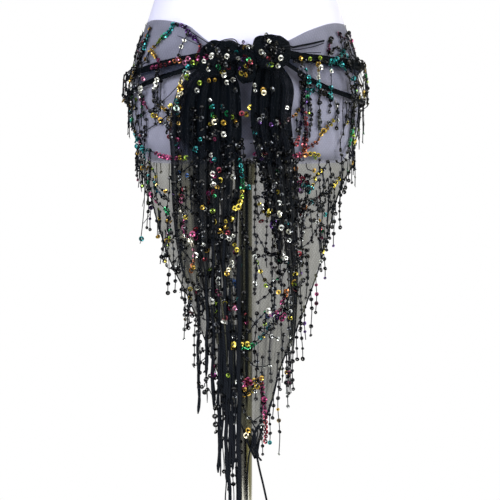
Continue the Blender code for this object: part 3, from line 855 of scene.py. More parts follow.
def tail_out(height):
    """A tail hangs straight down, so it stands further off where the form draws back below the belly."""
    level = np.maximum(height, HANG_HEIGHT)
    return TAIL_OUT + smooth(FORM, "front", WIDEST + 0 * level) - smooth(FORM, "front", level)


def tail_wave(table, share, height):
    """How far the pleats stand out, or in, at a share of the width from the left edge."""
    left, right = edges(table, height)
    deep = table["depth"] * ease((right - left) / table["pleats"], 0.003, 0.012)
    deep = deep * ease(table["height"][-1] - height, 0.0, TAIL_FLARE)
    fine = 0.30 * np.sin(math.tau * 11.5 * share + 14 * height)
    return deep * (np.sin(math.tau * table["pleats"] * share) + fine)


def on_tail(label, share, height, out=0.0):
    """A point on a tail, or `out` metres in front of it."""
    table = TAILS[label]
    left, right = edges(table, height)
    wave = tail_wave(table, share, height)
    return front(left + (right - left) * share, height, tail_out(height) + wave + NET + out)


def parted(table, x, level):
    """How bare the narrow gaps between pleats are, whose edges wave a little."""
    total = 0.0 * x
    for middle, top, foot, half in zip(*table["gaps"].values()):
        beside = np.abs(x - middle - 0.0008 * np.sin(level / 0.007)) / half
        within = ease(level, foot, foot + 0.015) * (1 - ease(level, top - 0.015, top))
        total = total + 0.75 * within * (1 - ease(beside, 0.5, 1.2))
    return total


def tail(label, seed, light_edge, light_inner):
    """A tail. The last two values say how light its left strip and its lower inner edge are."""
    table = TAILS[label]
    share = np.linspace(0, 1, 161)[None, :]
    level = np.linspace(table["height"][-1] - 0.004, table["height"][0], 170)[:, None]
    streak = wander(share * 3 + 0.4 * level, seed, (0.43, 0.05), (0.19, 0.05), (0.11, 0.03))
    light = np.clip(np.sin(math.tau * (4.6 * share + 0.35 * np.sin(9 * level + seed))), 0, 1) ** 2
    edge_share = ease(share, 0.03, 0.09) * (1 - ease(share, 0.22, 0.36))
    edge_height = ease(level, 0.45, 0.50) * (1 - 0.50 * ease(level, 0.590, 0.640))
    edge_height = edge_height * (1 - ease(level, 0.66, 0.70))
    inner = light_inner * ease(share, 0.84, 0.93) * below(level, 0.545, 0.500)
    gathered = (0.95 + streak) * (1 - light_edge * edge_share * edge_height - inner)
    gathered = gathered - 0.22 * below(level, 0.60, 0.44) * light
    feet = np.array(table["strip_feet"])
    strip = np.clip(share * len(feet), 0, len(feet) - 0.001)
    index = strip.astype(int)
    from_middle = np.abs(strip - index - 0.5) * 2
    slit_from = table["slit_from"]
    slit = ease(from_middle, 0.52, 0.84)
    slit = slit * below(level, slit_from + 0.02 * np.sin(3.0 * index), slit_from - 0.03)
    gone = below(level, feet[index] + 0.004 * (1 - from_middle), feet[index] - 0.003)
    left, right = edges(table, level)
    bare = 0.85 * slit + 1.2 * gone + parted(table, left * (1 - share) + right * share, level)
    bare = np.clip(bare, 0, 1)
    points = on_tail(label, share + 0.0 * level, level + 0.0 * share)
    return net_piece(f"tail_{label}", points, np.clip(gathered, 0.1, 1) * (1 - bare) - bare)


tails = {"left": tail("left", 41, 0.50, 0.45), "right": tail("right", 44, 0.0, 0.0)}

# %% [markdown]
# ## Thread and sequin film
#
# The swags are twisted black polyester thread. The sequins are stamped from thin plastic film with
# a coloured metal layer under a clear one, pressed into a shallow cup with a hole in the middle, so
# a few of them flash and the rest look dark. Their colour comes from a value called `tint` that
# each strand carries along its length.

# %% Thread and film materials
THREAD_TWIST = 0.0020
SHIMMER_SCALE = 330.0

thread, tree = new_material("polyester_thread_twisted_black")
twist = bands_along(tree, "DIAGONAL", object_place(tree), THREAD_TWIST, 0.5)[1]
principled(
    tree,
    {"Base Color": mixed(tree, twist, "07090D", "161A22"), "Roughness": 0.6, "Specular IOR Level": 0.05},
    bump={"Height": twist, "Strength": 0.4, "Distance": 0.0002},
)

film, tree = new_material("polyester_film_metallised_cupped")
shimmer = noise(tree, object_place(tree), SHIMMER_SCALE, 1.0)
shift = {
    "Hue": ranged(tree, shimmer, 0.46, 0.54),
    # `rim` darkens the colour towards the hole, a painted shade of the cup.
    "Value": attribute(tree, "rim"),
    "Color": attribute(tree, "tint", "Color"),
}
principled(
    tree,
    {
        "Base Color": add_node(tree, "ShaderNodeHueSaturation", shift).outputs[0],
        "Metallic": 0.75,
        "Roughness": ranged(tree, shimmer, 0.14, 0.34),
        "Coat Weight": 0.5,
        "Coat Roughness": 0.1,
    },
)

# White and silver sequins are painted highlights, the flash of a sequin turned to the light, and the grey
# ones are black sequins with a painted faint glint on their rims.
PALETTE = {
    "black": "0A0C11", "teal": "127E84", "green": "1E8F58", "lime": "94B23A",
    "yellow": "DCC84E", "gold": "C49F40", "orange": "B4703C", "red": "832A38",
    "rose": "D98AB4", "magenta": "8E2F62", "purple": "4E2A74", "blue": "345E9E",
    "white": "F6F8F4", "cream": "FBF3D8", "silver_glint": "B4B8B8", "grey_glint": "4A4E55",
}
COLOURS = {name: np.array(linear(code)) for name, code in PALETTE.items()}

# %% [markdown]
# ## Cupped sequins
#
# Two sizes are strung: 8 mm ones with a wide hole in the front swags and on the tails and knot, and
# 6 mm ones in the fringe and elsewhere. Each is a small closed ring of thin film, cupped by about a
# millimetre. Thousands of copies are strung, so it has only nine sides and 45 faces. A value called
# `rim` darkens its colour as a painted shade: it is 1 on its outer face, a little less on the back of
# its edge, and falls towards the hole, where the cup lies in its own shadow.

# %% Sequins
SEQUIN_WALL = 0.00025
SEQUIN_SIDES = 9


def sequin_cup(name, radius, hole, cup):
    """One sequin: a ring whose profile is turned round its axis."""
    profile = (
        (radius, 0.0, 0.75),
        (radius, SEQUIN_WALL, 1.0),
        (0.66 * radius, SEQUIN_WALL - 0.5 * cup, 1.0),
        (hole, SEQUIN_WALL - cup, 0.12),
        (hole, -cup, 0.05),
    )
    body = bmesh.new()
    rim = body.verts.layers.float.new("rim")
    rings = []
    for step in range(SEQUIN_SIDES):
        bearing = math.tau * step / SEQUIN_SIDES
        ring = []
        for r, z, shade in profile:
            corner = body.verts.new((r * math.cos(bearing), r * math.sin(bearing), z))
            corner[rim] = shade
            ring.append(corner)
        rings.append(ring)
    for ring, following in zip(rings, rings[1:] + rings[:1]):
        for i in range(len(profile)):
            j = (i + 1) % len(profile)
            body.faces.new((ring[i], following[i], following[j], ring[j]))
    bmesh.ops.recalc_face_normals(body, faces=body.faces)
    mesh = bpy.data.meshes.new(name)
    body.to_mesh(mesh)
    body.free()
    mesh.shade_smooth()
    mesh.set_sharp_from_angle(angle=math.radians(50))
    made = bpy.data.objects.new(name, mesh)
    scene.collection.objects.link(made)
    return made


large_sequin = sequin_cup("sequin_large", radius=0.0041, hole=0.0013, cup=0.0012)
small_sequin = sequin_cup("sequin_small", radius=0.0032, hole=0.0006, cup=0.0008)
print("one sequin has", len(large_sequin.data.polygons), "faces")

# %% [markdown]
# ## A tree that strings sequins on thread
#
# Geometry Nodes suit this: the strands are plain lines with a few values at each point, and the tree
# turns each line into a thread and puts a sequin at every step along it. Each sequin faces the way
# its strand says, with a random tilt from a fixed seed and a size of 0.66 to 1.12 times its own, so
# it looks hand strung. `bead` is 1 where a strand takes sequins, less where it takes only a few and
# 0 where it is bare. A share of the sequins, `Missing`, is left off at random.

# %% The stringing tree
SEQUIN_SCALES = {2: 0.66, 3: 1.12}
TUBE_SIDES = 5
STRAND_VALUES = {
    "facing": ("FLOAT_VECTOR", "vector"),
    "tint": ("FLOAT_COLOR", "color"),
    "thick": ("FLOAT", "value"),
    "bead": ("FLOAT", "value"),
    "step": ("FLOAT", "value"),
}

string_tree = bpy.data.node_groups.new("string_sequins", "GeometryNodeTree")
for name, kind in (
    ("Strands", "Geometry"),
    ("Sequin", "Object"),
    ("Missing", "Float"),
    ("Tilt", "Float"),
    ("Seed", "Int"),
    ("Thread", "Material"),
    ("Film", "Material"),
):
    string_tree.interface.new_socket(name, in_out="INPUT", socket_type=f"NodeSocket{kind}")
string_tree.interface.new_socket("Strung", in_out="OUTPUT", socket_type="NodeSocketGeometry")
given = add_node(string_tree, "NodeGroupInput").outputs


def geometry(kind, inputs, **settings):
    """The first output of a geometry node in the stringing tree."""
    return add_node(string_tree, f"GeometryNode{kind}", inputs, **settings).outputs[0]


def stored(name):
    """A value that the strands carry at each point."""
    return geometry("InputNamedAttribute", {"Name": name}, data_type=STRAND_VALUES[name][0])


def at_random(limits, kind="FLOAT"):
    """A random value for each sequin, between two inputs that differ by the kind of value."""
    inputs = {**limits, "Seed": given["Seed"]}
    return add_node(string_tree, "FunctionNodeRandomValue", inputs, data_type=kind).outputs


def function(kind, inputs, **settings):
    """The first output of a function node in the stringing tree."""
    return add_node(string_tree, f"FunctionNode{kind}", inputs, **settings).outputs[0]


curves = geometry("MeshToCurve", {"Mesh": given["Strands"]})
ring = geometry("CurvePrimitiveCircle", {"Resolution": TUBE_SIDES, "Radius": 1.0})
tube = {"Curve": curves, "Profile Curve": ring, "Scale": stored("thick"), "Fill Caps": True}
soft = geometry("SetShadeSmooth", {"Geometry": geometry("CurveToMesh", tube)})
threads = geometry("SetMaterial", {"Geometry": soft, "Material": given["Thread"]})

stepped = geometry("ResampleCurve", {"Curve": curves, "Length": stored("step")}, mode="LENGTH")
kept = calculate(string_tree, "MULTIPLY", at_random({2: 0.0, 3: 1.0})[1], stored("bead"))
chosen = function("Compare", {0: kept, 1: given["Missing"]}, data_type="FLOAT", operation="GREATER_THAN")
faced = function("AlignRotationToVector", {"Vector": stored("facing")}, axis="Z")
swing = at_random({0: (-1.0, -1.0, -3.1), 1: (1.0, 1.0, 3.1)}, "FLOAT_VECTOR")[0]
tilted = {0: swing, "Scale": given["Tilt"]}
leaning = add_node(string_tree, "ShaderNodeVectorMath", tilted, operation="SCALE").outputs[0]
turned_by = function("EulerToRotation", {"Euler": leaning})
cup = add_node(string_tree, "GeometryNodeObjectInfo", {"Object": given["Sequin"]}).outputs["Geometry"]
placed = {
    "Points": stepped,
    "Selection": chosen,
    "Instance": cup,
    "Rotation": function("RotateRotation", {0: faced, 1: turned_by}, rotation_space="LOCAL"),
    "Scale": at_random(SEQUIN_SCALES)[1],
}
real = geometry("RealizeInstances", {"Geometry": geometry("InstanceOnPoints", placed)})
filmed = geometry("SetMaterial", {"Geometry": real, "Material": given["Film"]})
joined = add_node(string_tree, "GeometryNodeJoinGeometry")
for part in (filmed, threads):
    string_tree.links.new(part, joined.inputs[0])
add_node(string_tree, "NodeGroupOutput", {0: joined.outputs[0]})


def strand(points, facing, colours, thick=0.0007, bead=1.0, step=0.0125):
    """One strand: its points, the way its sequins face, its colours along it and its thickness."""
    count = len(points)
    steps = np.linspace(0, len(colours) - 1, count)
    steps = np.clip(np.round(steps + chance.normal(0, 0.25, count)), 0, len(colours) - 1).astype(int)
    return {
        "points": np.asarray(points, float),
        "facing": np.broadcast_to(facing, (count, 3)).astype(float),
        "tint": np.array([COLOURS[colours[step]] for step in steps]),
        "thick": np.broadcast_to(thick, count).astype(float),
        "bead": np.broadcast_to(bead, count).astype(float),
        "step": np.full(count, step * chance.uniform(0.85, 1.15)),
    }


def string_up(name, strands, sequin, missing=0.1, tilt=0.55, seed=1):
    """Makes one piece of all these strands with the stringing tree, as a plain mesh."""
    starts = np.cumsum([0] + [len(s["points"]) for s in strands])
    links = [np.stack((np.arange(a, b - 1), np.arange(a + 1, b)), -1) for a, b in zip(starts, starts[1:])]
    points = np.concatenate([s["points"] for s in strands])
    mesh = bpy.data.meshes.new(name + "_lines")
    mesh.from_pydata(points.tolist(), np.concatenate(links).tolist(), [])
    for key, (kind, field) in STRAND_VALUES.items():
        values = np.concatenate([s[key] for s in strands]).astype(np.float32)
        mesh.attributes.new(key, kind, "POINT").data.foreach_set(field, values.ravel())
    lines = bpy.data.objects.new(name + "_lines", mesh)
    scene.collection.objects.link(lines)
    modifier = lines.modifiers.new("string", "NODES")
    modifier.node_group = string_tree
    wanted = dict(Sequin=sequin, Missing=missing, Tilt=tilt, Seed=seed, Thread=thread, Film=film)
    for item in string_tree.interface.items_tree:
        if item.in_out == "INPUT" and item.name in wanted:
            modifier[item.identifier] = wanted[item.name]
    view = bpy.context.evaluated_depsgraph_get()
    final = bpy.data.meshes.new_from_object(lines.evaluated_get(view))
    final.name = name
    bpy.data.objects.remove(lines)
    made = bpy.data.objects.new(name, final)
    scene.collection.objects.link(made)
    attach(made, "root")
    print(name, len(strands), "strands,", len(final.polygons), "faces")
    return made


# %% [markdown]
# ## Where strands hang
#
# A strand sewn on the hips lies on the cloth down to the widest place and then hangs straight. One
# sewn on a hanging edge hangs straight from the start. Both drift and wave a little. These helpers
# give a strand's points from where it is sewn and how long it is.

# %% Hanging strands
STRAND_STEP = 0.006
BLACKS = ("black",)
END_COLOURS = ("teal", "teal", "green", "gold", "magenta", "white", "purple")


def outward(points):
    """The way that is level and away from the pole, for sequins to face."""
    away = points * (1.0, 1.0, 0.0)
    return away / (np.linalg.norm(away, axis=-1, keepdims=True) + 1e-9)


def bare(points, thick, facing=(0, -1, 0)):
    """A strand without sequins."""
    return strand(points, facing, BLACKS, thick, 0.0)


def strand_colours():
    """Mostly black, with a bright sequin at the end now and then."""
    draw = chance.random()
    if draw < 0.70:
        return BLACKS
    end = chance.choice(END_COLOURS)
    return ("black", "black", "black", end) if draw < 0.9 else ("black", end, "black")


def steps_down(length):
    """How far down each point of a strand of this length lies."""
    return np.arange(0, max(2, round(length / STRAND_STEP)) + 1) * STRAND_STEP


def hang_from_hips(angle, height, length, out):
    """A strand sewn on the hips, `out` metres off the form."""
    steps = steps_down(length)
    drift = chance.normal(0, 0.012)
    wave = 0.0010 * np.sin(steps / 0.011 + chance.uniform(0, 6)) * ease(steps, 0.0, 0.03)
    turn = angle + np.degrees((drift * steps + wave) / HIP_RADIUS)
    away = out + abs(chance.normal(0.0, 0.0012)) + 0.5 * np.abs(wave)
    points = plumb(turn, height, height - steps, away)
    return strand(points, outward(points), strand_colours())


def hang_free(point, length, colours=None, lean=0.0):
    """A strand that hangs free from a point."""
    steps = steps_down(length)
    drift = chance.normal(0, 0.022) + lean
    wave = 0.0011 * np.sin(steps / 0.013 + chance.uniform(0, 6)) * ease(steps, 0.0, 0.03)
    x = point[0] + drift * steps + wave
    y = point[1] + 0.5 * wave + chance.normal(0, 0.006) * steps
    return strand(np.stack((x, y, point[2] - steps), -1), (0, -1, 0), colours or strand_colours())


# %% [markdown]
# ## Fringe along the edges
#
# Every lower edge carries strands: the panel's two legs, the foot of each wing and the lower roll of
# each band. They are 1 to 8 cm long and from a few millimetres to a few centimetres apart, short at
# the sides of the hips and longer below and behind, and four long ones hang low on the legs. A
# rolled hem runs along the same edges, which is simply a thicker strand without sequins. The CAD has
# one plain wall for the reach of each of these, and the strands take its place.

# %% Hems and fringe of the panel and wings
HEM = 0.0011
TOP_HEM = 0.0006
HEM_PROUD = 0.0004
SEWN_PROUD = 0.0006
SEWN_IN = 0.0005
WING_FRINGE_OUT = 0.0022
BAND_FRINGE_OUT = 0.0062
LEG_TOP = 0.688
FIRST_STRAND = 0.684
SHORT_ABOVE = 0.630
SPARSE_BELOW = 0.52
LEAN = 0.012
SIDE_ANGLE = 116
LONG_STRANDS = {"left": ((0.470, 0.075),), "right": ((0.390, 0.088), (0.345, 0.112), (0.380, 0.060))}
LONG_COLOURS = ("black", "black", "gold", "black", "silver_glint")


def leg_strands(column, foot):
    """The hem of a leg and the strands on it, down to the height `foot`."""
    side = SIDES[column]
    level = np.linspace(LEG_TOP, PANEL_FOOT, 150)
    hem = on_panel(smooth(LEGS, column, level), level, HEM_PROUD)
    made = [bare(hem, HEM * (1 + 0.5 * below(level, 0.36, 0.32)), outward(hem))]
    here = FIRST_STRAND
    while here > foot:
        high = here > SHORT_ABOVE
        spot = on_panel(smooth(LEGS, column, here) - side * SEWN_IN, here, SEWN_PROUD)
        if high:
            length = chance.uniform(0.012, 0.030)
        else:
            length = chance.uniform(0.030, 0.080) * chance.choice((0.5, 0.8, 1.0))
        made.append(hang_free(spot, length, lean=side * LEAN))
        near = 0.010 if high else chance.choice((0.005, 0.014, 0.022, 0.034))
        near *= 1.8 if side < 0 and here < SPARSE_BELOW else 1.0
        here -= near * chance.uniform(0.8, 1.2)
    for height, length in LONG_STRANDS[column]:
        spot = on_panel(smooth(LEGS, column, height), height, SEWN_PROUD)
        made.append(hang_free(spot, length, LONG_COLOURS))
    return made


def wing_strands(label):
    """The hems of a wing's foot and top, and the strands on its foot."""
    side, table = SIDES[label], WINGS[label]
    low, high = np.linspace(90, LIFT_START, 70), np.linspace(90, 180, 70)
    low_hem = draped(side * low, smooth(table, "foot", low), INNER_LAYER + HEM_PROUD)
    high_hem = draped(side * high, smooth(table, "top", high), wing_out(high) + HEM_PROUD)
    made = [bare(low_hem, HEM, outward(low_hem)), bare(high_hem, TOP_HEM, outward(high_hem))]
    here = 90.5
    while here < LIFT_START:
        beside = here < SIDE_ANGLE
        length = chance.uniform(0.010, 0.022) if beside else chance.uniform(0.035, 0.074)
        made.append(hang_from_hips(side * here, smooth(table, "foot", here), length, WING_FRINGE_OUT))
        here += chance.uniform(7.0, 10.0) if beside else chance.uniform(2.4, 6.0)
    return made


def band_strands(label, start, end):
    """The strands along a band's lower roll, from one angle to another."""
    made = []
    here = start
    while here < end:
        at = smooth(BANDS[label], "lower", here) - LOWER_ROLL
        made.append(hang_from_hips(SIDES[label] * here, at, chance.uniform(0.035, 0.060), BAND_FRINGE_OUT))
        here += chance.uniform(2.4, 5.2) * (3.4 if here < 76 else 2.2 if here < 108 else 1.0)
    return made


def fringe(edge, strands, seed, missing=0.1):
    """The strands of one edge, in the place of that edge's CAD wall."""
    made = string_up(f"fringe_of_{edge}", strands, small_sequin, missing, seed=seed)
    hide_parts("fringe_tip" if edge == "corner" else f"fringe_{edge}")
    return made


fringes = {
    "panel_left": fringe("panel_left", leg_strands("left", 0.395), 2),
    "panel_right": fringe("panel_right", leg_strands("right", 0.262), 3),
    "wing_left": fringe("wing_left", wing_strands("left"), 4),
    "wing_right": fringe("wing_right", wing_strands("right"), 5),
    "band_left": fringe("band_left", band_strands("left", 45, 165), 6),
    "band_right": fringe("band_right", band_strands("right", 38, 172), 7),
}

# %% [markdown]
# ## Strands of the tails and of the corner
#
# The tails end in long strips: most are plain rolled net, as thick as a shoelace at most, some are
# bare thread, and a few threads with sequins hang beside them. The corner of the panel is curled in
# a small tuft of eight strands, two of which hang below it. A strip's row gives its x, top, foot and
# radius. A corner strand's row gives its radius and then pins, in millimetres.

# %% Tail and corner strands
STRIPS = (
    (-0.0712, 0.5, 0.288, 0.0023), (-0.0583, 0.5, 0.344, 0.0026), (-0.058, 0.346, 0.305, 0.0007),
    (-0.049, 0.56, 0.298, 0.0028), (-0.0402, 0.52, 0.203, 0.0024), (-0.0316, 0.56, 0.289, 0.0028),
    (-0.0236, 0.48, 0.132, 0.0025), (-0.016, 0.42, 0.215, 0.0018), (-0.0098, 0.52, 0.127, 0.0034),
    (-0.035, 0.46, 0.24, 0.0015), (-0.0285, 0.42, 0.19, 0.0028), (-0.0195, 0.42, 0.205, 0.0022),
    (-0.037, 0.4, 0.196, 0.0009), (-0.03, 0.36, 0.15, 0.0008), (-0.013, 0.34, 0.14, 0.0009),
)
TAIL_DROPS = {
    "left": (
        (0.02, 0.150, 0.060), (0.22, 0.010, 0.050), (0.40, 0.008, 0.055), (0.55, 0.006, 0.070),
        (0.72, 0.008, 0.090), (0.90, 0.012, 0.080), (0.97, 0.050, 0.060),
    ),
    "right": ((0.1, 0.004, 0.050), (0.4, 0.004, 0.062), (0.65, 0.004, 0.058), (0.9, 0.004, 0.052)),
}
CORNER = (
    (0.0013, (30, 282), (18, 271), (11, 256), (10, 243), (15, 232), (24, 221)),
    (0.001, (7, 285), (12, 273), (18, 263), (15, 250), (10, 239)),
    (0.0011, (2, 268), (8, 258), (15, 253), (14, 242), (18, 229), (23, 220)),
    (0.0007, (24, 288), (15, 281), (8, 276), (3, 279)),
    (0.0016, (16, 232), (20, 212), (26, 187), (32, 160)),
    (0.0013, (12, 252), (6, 232), (3, 200), (2.5, 158)),
    (0.0018, (10, 268), (14, 258), (13, 246), (17, 236), (19, 226)),
    (0.0012, (22, 272), (16, 264), (11, 254), (14, 244)),
)


def strip_strand(x, top, foot, radius, seed):
    """A strip of a tail, which thins at its end."""
    level = np.arange(top, foot, -0.005)
    x = x + wander(level, seed, (0.11, 0.0009), (0.05, 0.0005))
    points = front(x, level, tail_out(level) + 0.0025)
    taper = ease(level, foot - 0.004, foot + 0.012)
    taper = taper * (1 + wander(level, seed + 9, (0.031, 0.08), (0.012, 0.06)))
    return bare(points, radius * taper + 0.0002)


def tail_drops(label):
    """Threads with sequins, from their share of the width, height over the tail's foot and length."""
    foot = TAILS[label]["height"][0]
    return [
        hang_free(on_tail(label, share, foot + rise, 0.001), length)
        for share, rise, length in TAIL_DROPS[label]
    ]


def row_line(pins):
    """x and height along a soft line through the pins, which are in millimetres."""
    x, z = np.array(pins).T / 1000
    along = np.concatenate([[0.0], np.cumsum(np.hypot(np.diff(x), np.diff(z)))])
    return edges({"along": along, "x": x, "z": z}, np.arange(0, along[-1], 0.003), "x", "z")


strips = [strip_strand(*row, 60 + i) for i, row in enumerate(STRIPS)]
fringes["tail_left"] = fringe("tail_left", strips + tail_drops("left"), 8, missing=0.2)
fringes["tail_right"] = fringe("tail_right", tail_drops("right"), 9)
tuft = [bare(on_panel(*row_line(pins), 0.003), radius) for radius, *pins in CORNER]
fringes["corner"] = fringe("corner", tuft, 10)

# %% [markdown]
# ## Where the cloth's outer face is
#
# A swag crosses the net, the bands, the knot and the tails, whichever lies outermost at that place.
# This function gives how far the outermost one stands off the form at a place on the front, with
# soft steps from one to the next, so a thread laid on it bridges them as a real one does.

# %% Outer face of the cloth on the front
BAND_FACE = OUTER_LAYER + 2 * ROLL_DEPTH + NET
SWAG_PROUD = 0.0022


def over_band(table, angle, height):
    """1 where the band lies and 0 beside it."""
    upper, lower = edges(table, angle, "upper", "lower")
    return ease(height, lower - 0.012, lower - 0.004) * below(height, upper + 0.012, upper + 0.004)


def cloth_out(x, height):
    """How far the outermost cloth stands off the form at a place on the front."""
    out = INNER_LAYER + np.where(height < FORM_FOOT, fold_depth(x, height), 0.0)
    angle = np.abs(turn_of(x, height, OUTER_LAYER))
    for label, side in SIDES.items():
        near = over_band(BANDS[label], angle, height) * ease(side * x, 0.02, 0.05)
        out = np.maximum(out, near * BAND_FACE)
    for table in TAILS.values():
        left, right = edges(table, height)
        share = (x - left) / (right - left)
        foot, head = table["height"][0], table["height"][-1]
        near = ease(share, -0.15, 0.02) * below(share, 1.15, 0.98)
        near = near * ease(height, foot - 0.02, foot) * below(height, head + 0.004, head - 0.012)
        wave = tail_wave(table, np.clip(share, 0, 1), height)
        out = np.maximum(out, near * (tail_out(height) + wave + NET))
    for lump in KNOT.values():
        half_x, half_out, half_z = lump["half"]
        bulge = 1 - ((x - lump["x"]) / half_x) ** 2 - ((height - lump["z"]) / half_z) ** 2
        near = np.sqrt(np.clip(bulge, 0, 1))
        out = np.maximum(out, np.where(bulge > 0, lump["out"] + half_out * near, 0.0))
    return out


def on_front(x, height, proud=SWAG_PROUD):
    """A point on the front, `proud` metres off the outermost cloth there."""
    return front(x, height, cloth_out(x, height) + proud)


# %% [markdown]
# ## Swags of the front
#
# The rows run loosely over the net, and the film changes colour along each one: teal, green, lime,
# gold, orange, magenta. Each row is a short line through a few pins, as a stitcher would set them,
# in millimetres to the right of the middle and up from the floor. A row begins with its colours, and
# a plain loop of thread begins with its radius.

# %% Rows of the front
HIP_ROWS = (
    ("teal teal green lime gold gold magenta", (-107, 859), (-112, 849), (-124, 840), (-131, 832),
     (-139, 822), (-133, 813), (-128, 804)),
    ("black purple black purple red magenta", (-101, 859), (-89, 855), (-82, 843), (-73, 836), (-66, 824),
     (-69, 814)),
    ("black white black black", (-85, 843), (-94, 827), (-98, 816), (-101, 804)),
    ("black black black gold black black", (-144, 851), (-153, 830), (-159, 807), (-169, 787), (-175, 761),
     (-176, 731)),
    ("black teal black black black", (-141, 858), (-147, 836), (-156, 815), (-163, 800), (-170, 776)),
    ("magenta red orange black magenta white", (-139, 796), (-120, 799), (-104, 804), (-88, 804),
     (-70, 806), (-53, 806)),
    ("white magenta magenta black yellow gold", (-157, 763), (-155, 753), (-149, 743), (-140, 731),
     (-134, 723), (-120, 717)),
    ("black white black black black", (-131, 790), (-133, 775), (-136, 758), (-134, 742), (-136, 727)),
    ("black gold black gold black", (-134, 742), (-120, 735), (-112, 722), (-113, 710), (-118, 700)),
    ("teal teal teal magenta magenta magenta lime", (-172, 691), (-162, 682), (-150, 676), (-137, 673),
     (-124, 666), (-110, 662), (-89, 662)),
    ("teal teal black teal", (-176, 735), (-172, 720), (-166, 706), (-160, 690)),
    ("teal black teal teal", (-166, 700), (-158, 690), (-152, 676), (-148, 660)),
    ("lime teal cream yellow gold cream teal", (-70, 798), (-85, 795), (-92, 784), (-98, 768), (-101, 752),
     (-105, 740), (-102, 726)),
    ("black black black teal", (74, 803), (84, 803), (97, 804), (111, 806), (129, 803), (145, 801)),
    ("teal white teal teal black black", (127, 800), (128, 786), (128, 768), (126, 748), (124, 730)),
    ("gold white teal black black black black", (109, 799), (109, 783), (110, 760), (109, 735), (109, 704)),
    ("black magenta black black teal teal", (127, 839), (123, 827), (124, 816), (135, 827), (143, 823),
     (154, 810)),
    ("magenta black black teal black", (138, 848), (146, 842), (150, 830), (143, 818), (136, 808)),
    ("black teal black teal teal black teal", (87, 798), (92, 785), (88, 772), (97, 763), (106, 759),
     (119, 755), (132, 750)),
    ("black black teal black black black", (78, 790), (84, 780), (90, 776), (101, 770), (112, 762),
     (126, 750)),
    ("black purple red red red orange magenta", (88, 768), (88, 737), (90, 710), (91, 688), (90, 678),
     (79, 668), (72, 663)),
    ("black black purple black red", (82, 772), (84, 750), (82, 724), (80, 700), (76, 680)),
    ("white black yellow gold orange red", (133, 745), (136, 733), (126, 713), (114, 701), (103, 684),
     (91, 678)),
    ("red orange yellow yellow lime", (77, 665), (90, 668), (100, 669), (108, 668), (100, 662)),
    ("black teal black black green black", (154, 804), (161, 782), (164, 758), (162, 729), (158, 702),
     (152, 673)),
    ("teal black black black black", (144, 800), (152, 788), (158, 766), (161, 744), (157, 720)),
    ("black black black black red", (84, 796), (86, 770), (84, 740), (88, 705), (86, 672)),
    ("teal black black black", (95, 780), (94, 752), (97, 722), (94, 694)),
)
PANEL_ROWS = (
    ("gold black teal teal blue black", (-153, 650), (-139, 647), (-133, 638), (-134, 621), (-124, 609),
     (-115, 601)),
    ("magenta magenta black green gold", (-143, 615), (-134, 601), (-124, 593), (-115, 583), (-112, 569)),
    ("blue white gold white magenta cream magenta orange", (-101, 641), (-98, 620), (-98, 596), (-92, 572),
     (-92, 557), (-83, 541), (-78, 518), (-82, 496)),
    ("teal black white black red black lime", (-47, 659), (-50, 636), (-50, 621), (-56, 606), (-53, 592),
     (-46, 577)),
    ("black teal green yellow yellow gold white yellow", (-11, 673), (-6, 644), (-6, 604), (-14, 583),
     (-27, 566), (-31, 548), (-18, 540), (-15, 527)),
    ("white purple black white black white", (52, 579), (45, 569), (39, 560), (46, 543), (52, 522),
     (63, 516)),
    ("black black black black", (-1, 554), (5, 534), (20, 519), (36, 522)),
    ("orange black red teal black orange", (75, 654), (79, 640), (90, 625), (94, 615), (90, 604),
     (87, 590)),
    ("yellow yellow teal teal", (111, 644), (104, 636), (100, 621), (92, 611)),
    ("yellow yellow black red black", (139, 633), (132, 624), (120, 612), (108, 604), (95, 601)),
    ("teal black black teal black", (118, 580), (112, 590), (103, 596), (92, 598), (84, 590)),
    ("gold green green teal teal blue white magenta magenta orange", (-19, 387), (-5, 387), (8, 388),
     (18, 397), (29, 407), (36, 419), (34, 436), (46, 435), (56, 455), (62, 468)),
    ("black magenta purple magenta black", (28, 424), (38, 434), (46, 432), (55, 428), (60, 440)),
    ("white gold blue black red white", (-18, 508), (-28, 495), (-14, 477), (-12, 455), (-24, 441),
     (-34, 423)),
    ("magenta red gold yellow orange", (7, 335), (-3, 326), (-1, 316), (10, 322), (23, 336)),
    ("magenta magenta red gold orange", (-5, 332), (3, 338), (8, 334), (14, 338), (21, 340)),
    ("magenta magenta magenta red red", (24, 333), (27, 307), (30, 275), (30, 258), (29, 247)),
)
LOOPS = (
    (0.0008, (-45, 823), (-36, 832), (-26, 835), (-15, 834), (-11, 826), (-16, 818)),
    (0.001, (-24, 826), (-14, 829), (-4, 824), (4, 817), (14, 812)),
    (0.0015, (58, 821), (79, 826), (100, 831), (118, 836)),
    (0.0007, (60, 818), (84, 822), (104, 827), (116, 832)),
    (0.0006, (64, 812), (88, 815), (112, 817)),
    (0.0007, (-110, 861), (-96, 856), (-82, 848), (-66, 837), (-52, 828)),
    (0.0005, (-100, 842), (-86, 836), (-70, 828), (-56, 824)),
    (0.0007, (-150, 660), (-150, 631), (-150, 604), (-153, 566), (-156, 542)),
    (0.0005, (-141, 582), (-148, 572), (-153, 566)),
    (0.0005, (-148, 640), (-149, 612), (-154, 590)),
    (0.0008, (-105, 735), (-128, 716), (-150, 704), (-163, 700)),
    (0.0006, (-98, 770), (-120, 748), (-140, 735), (-160, 722)),
)
ROW_SPACING = 0.0072


def row_strands(rows):
    """One strand for each row, which gives its colours and then its pins."""
    made = []
    for colours, *pins in rows:
        points = on_front(*row_line(pins))
        made.append(strand(points, outward(points) + (0, -0.5, 0), colours.split(), 0.0006, step=ROW_SPACING))
    return made


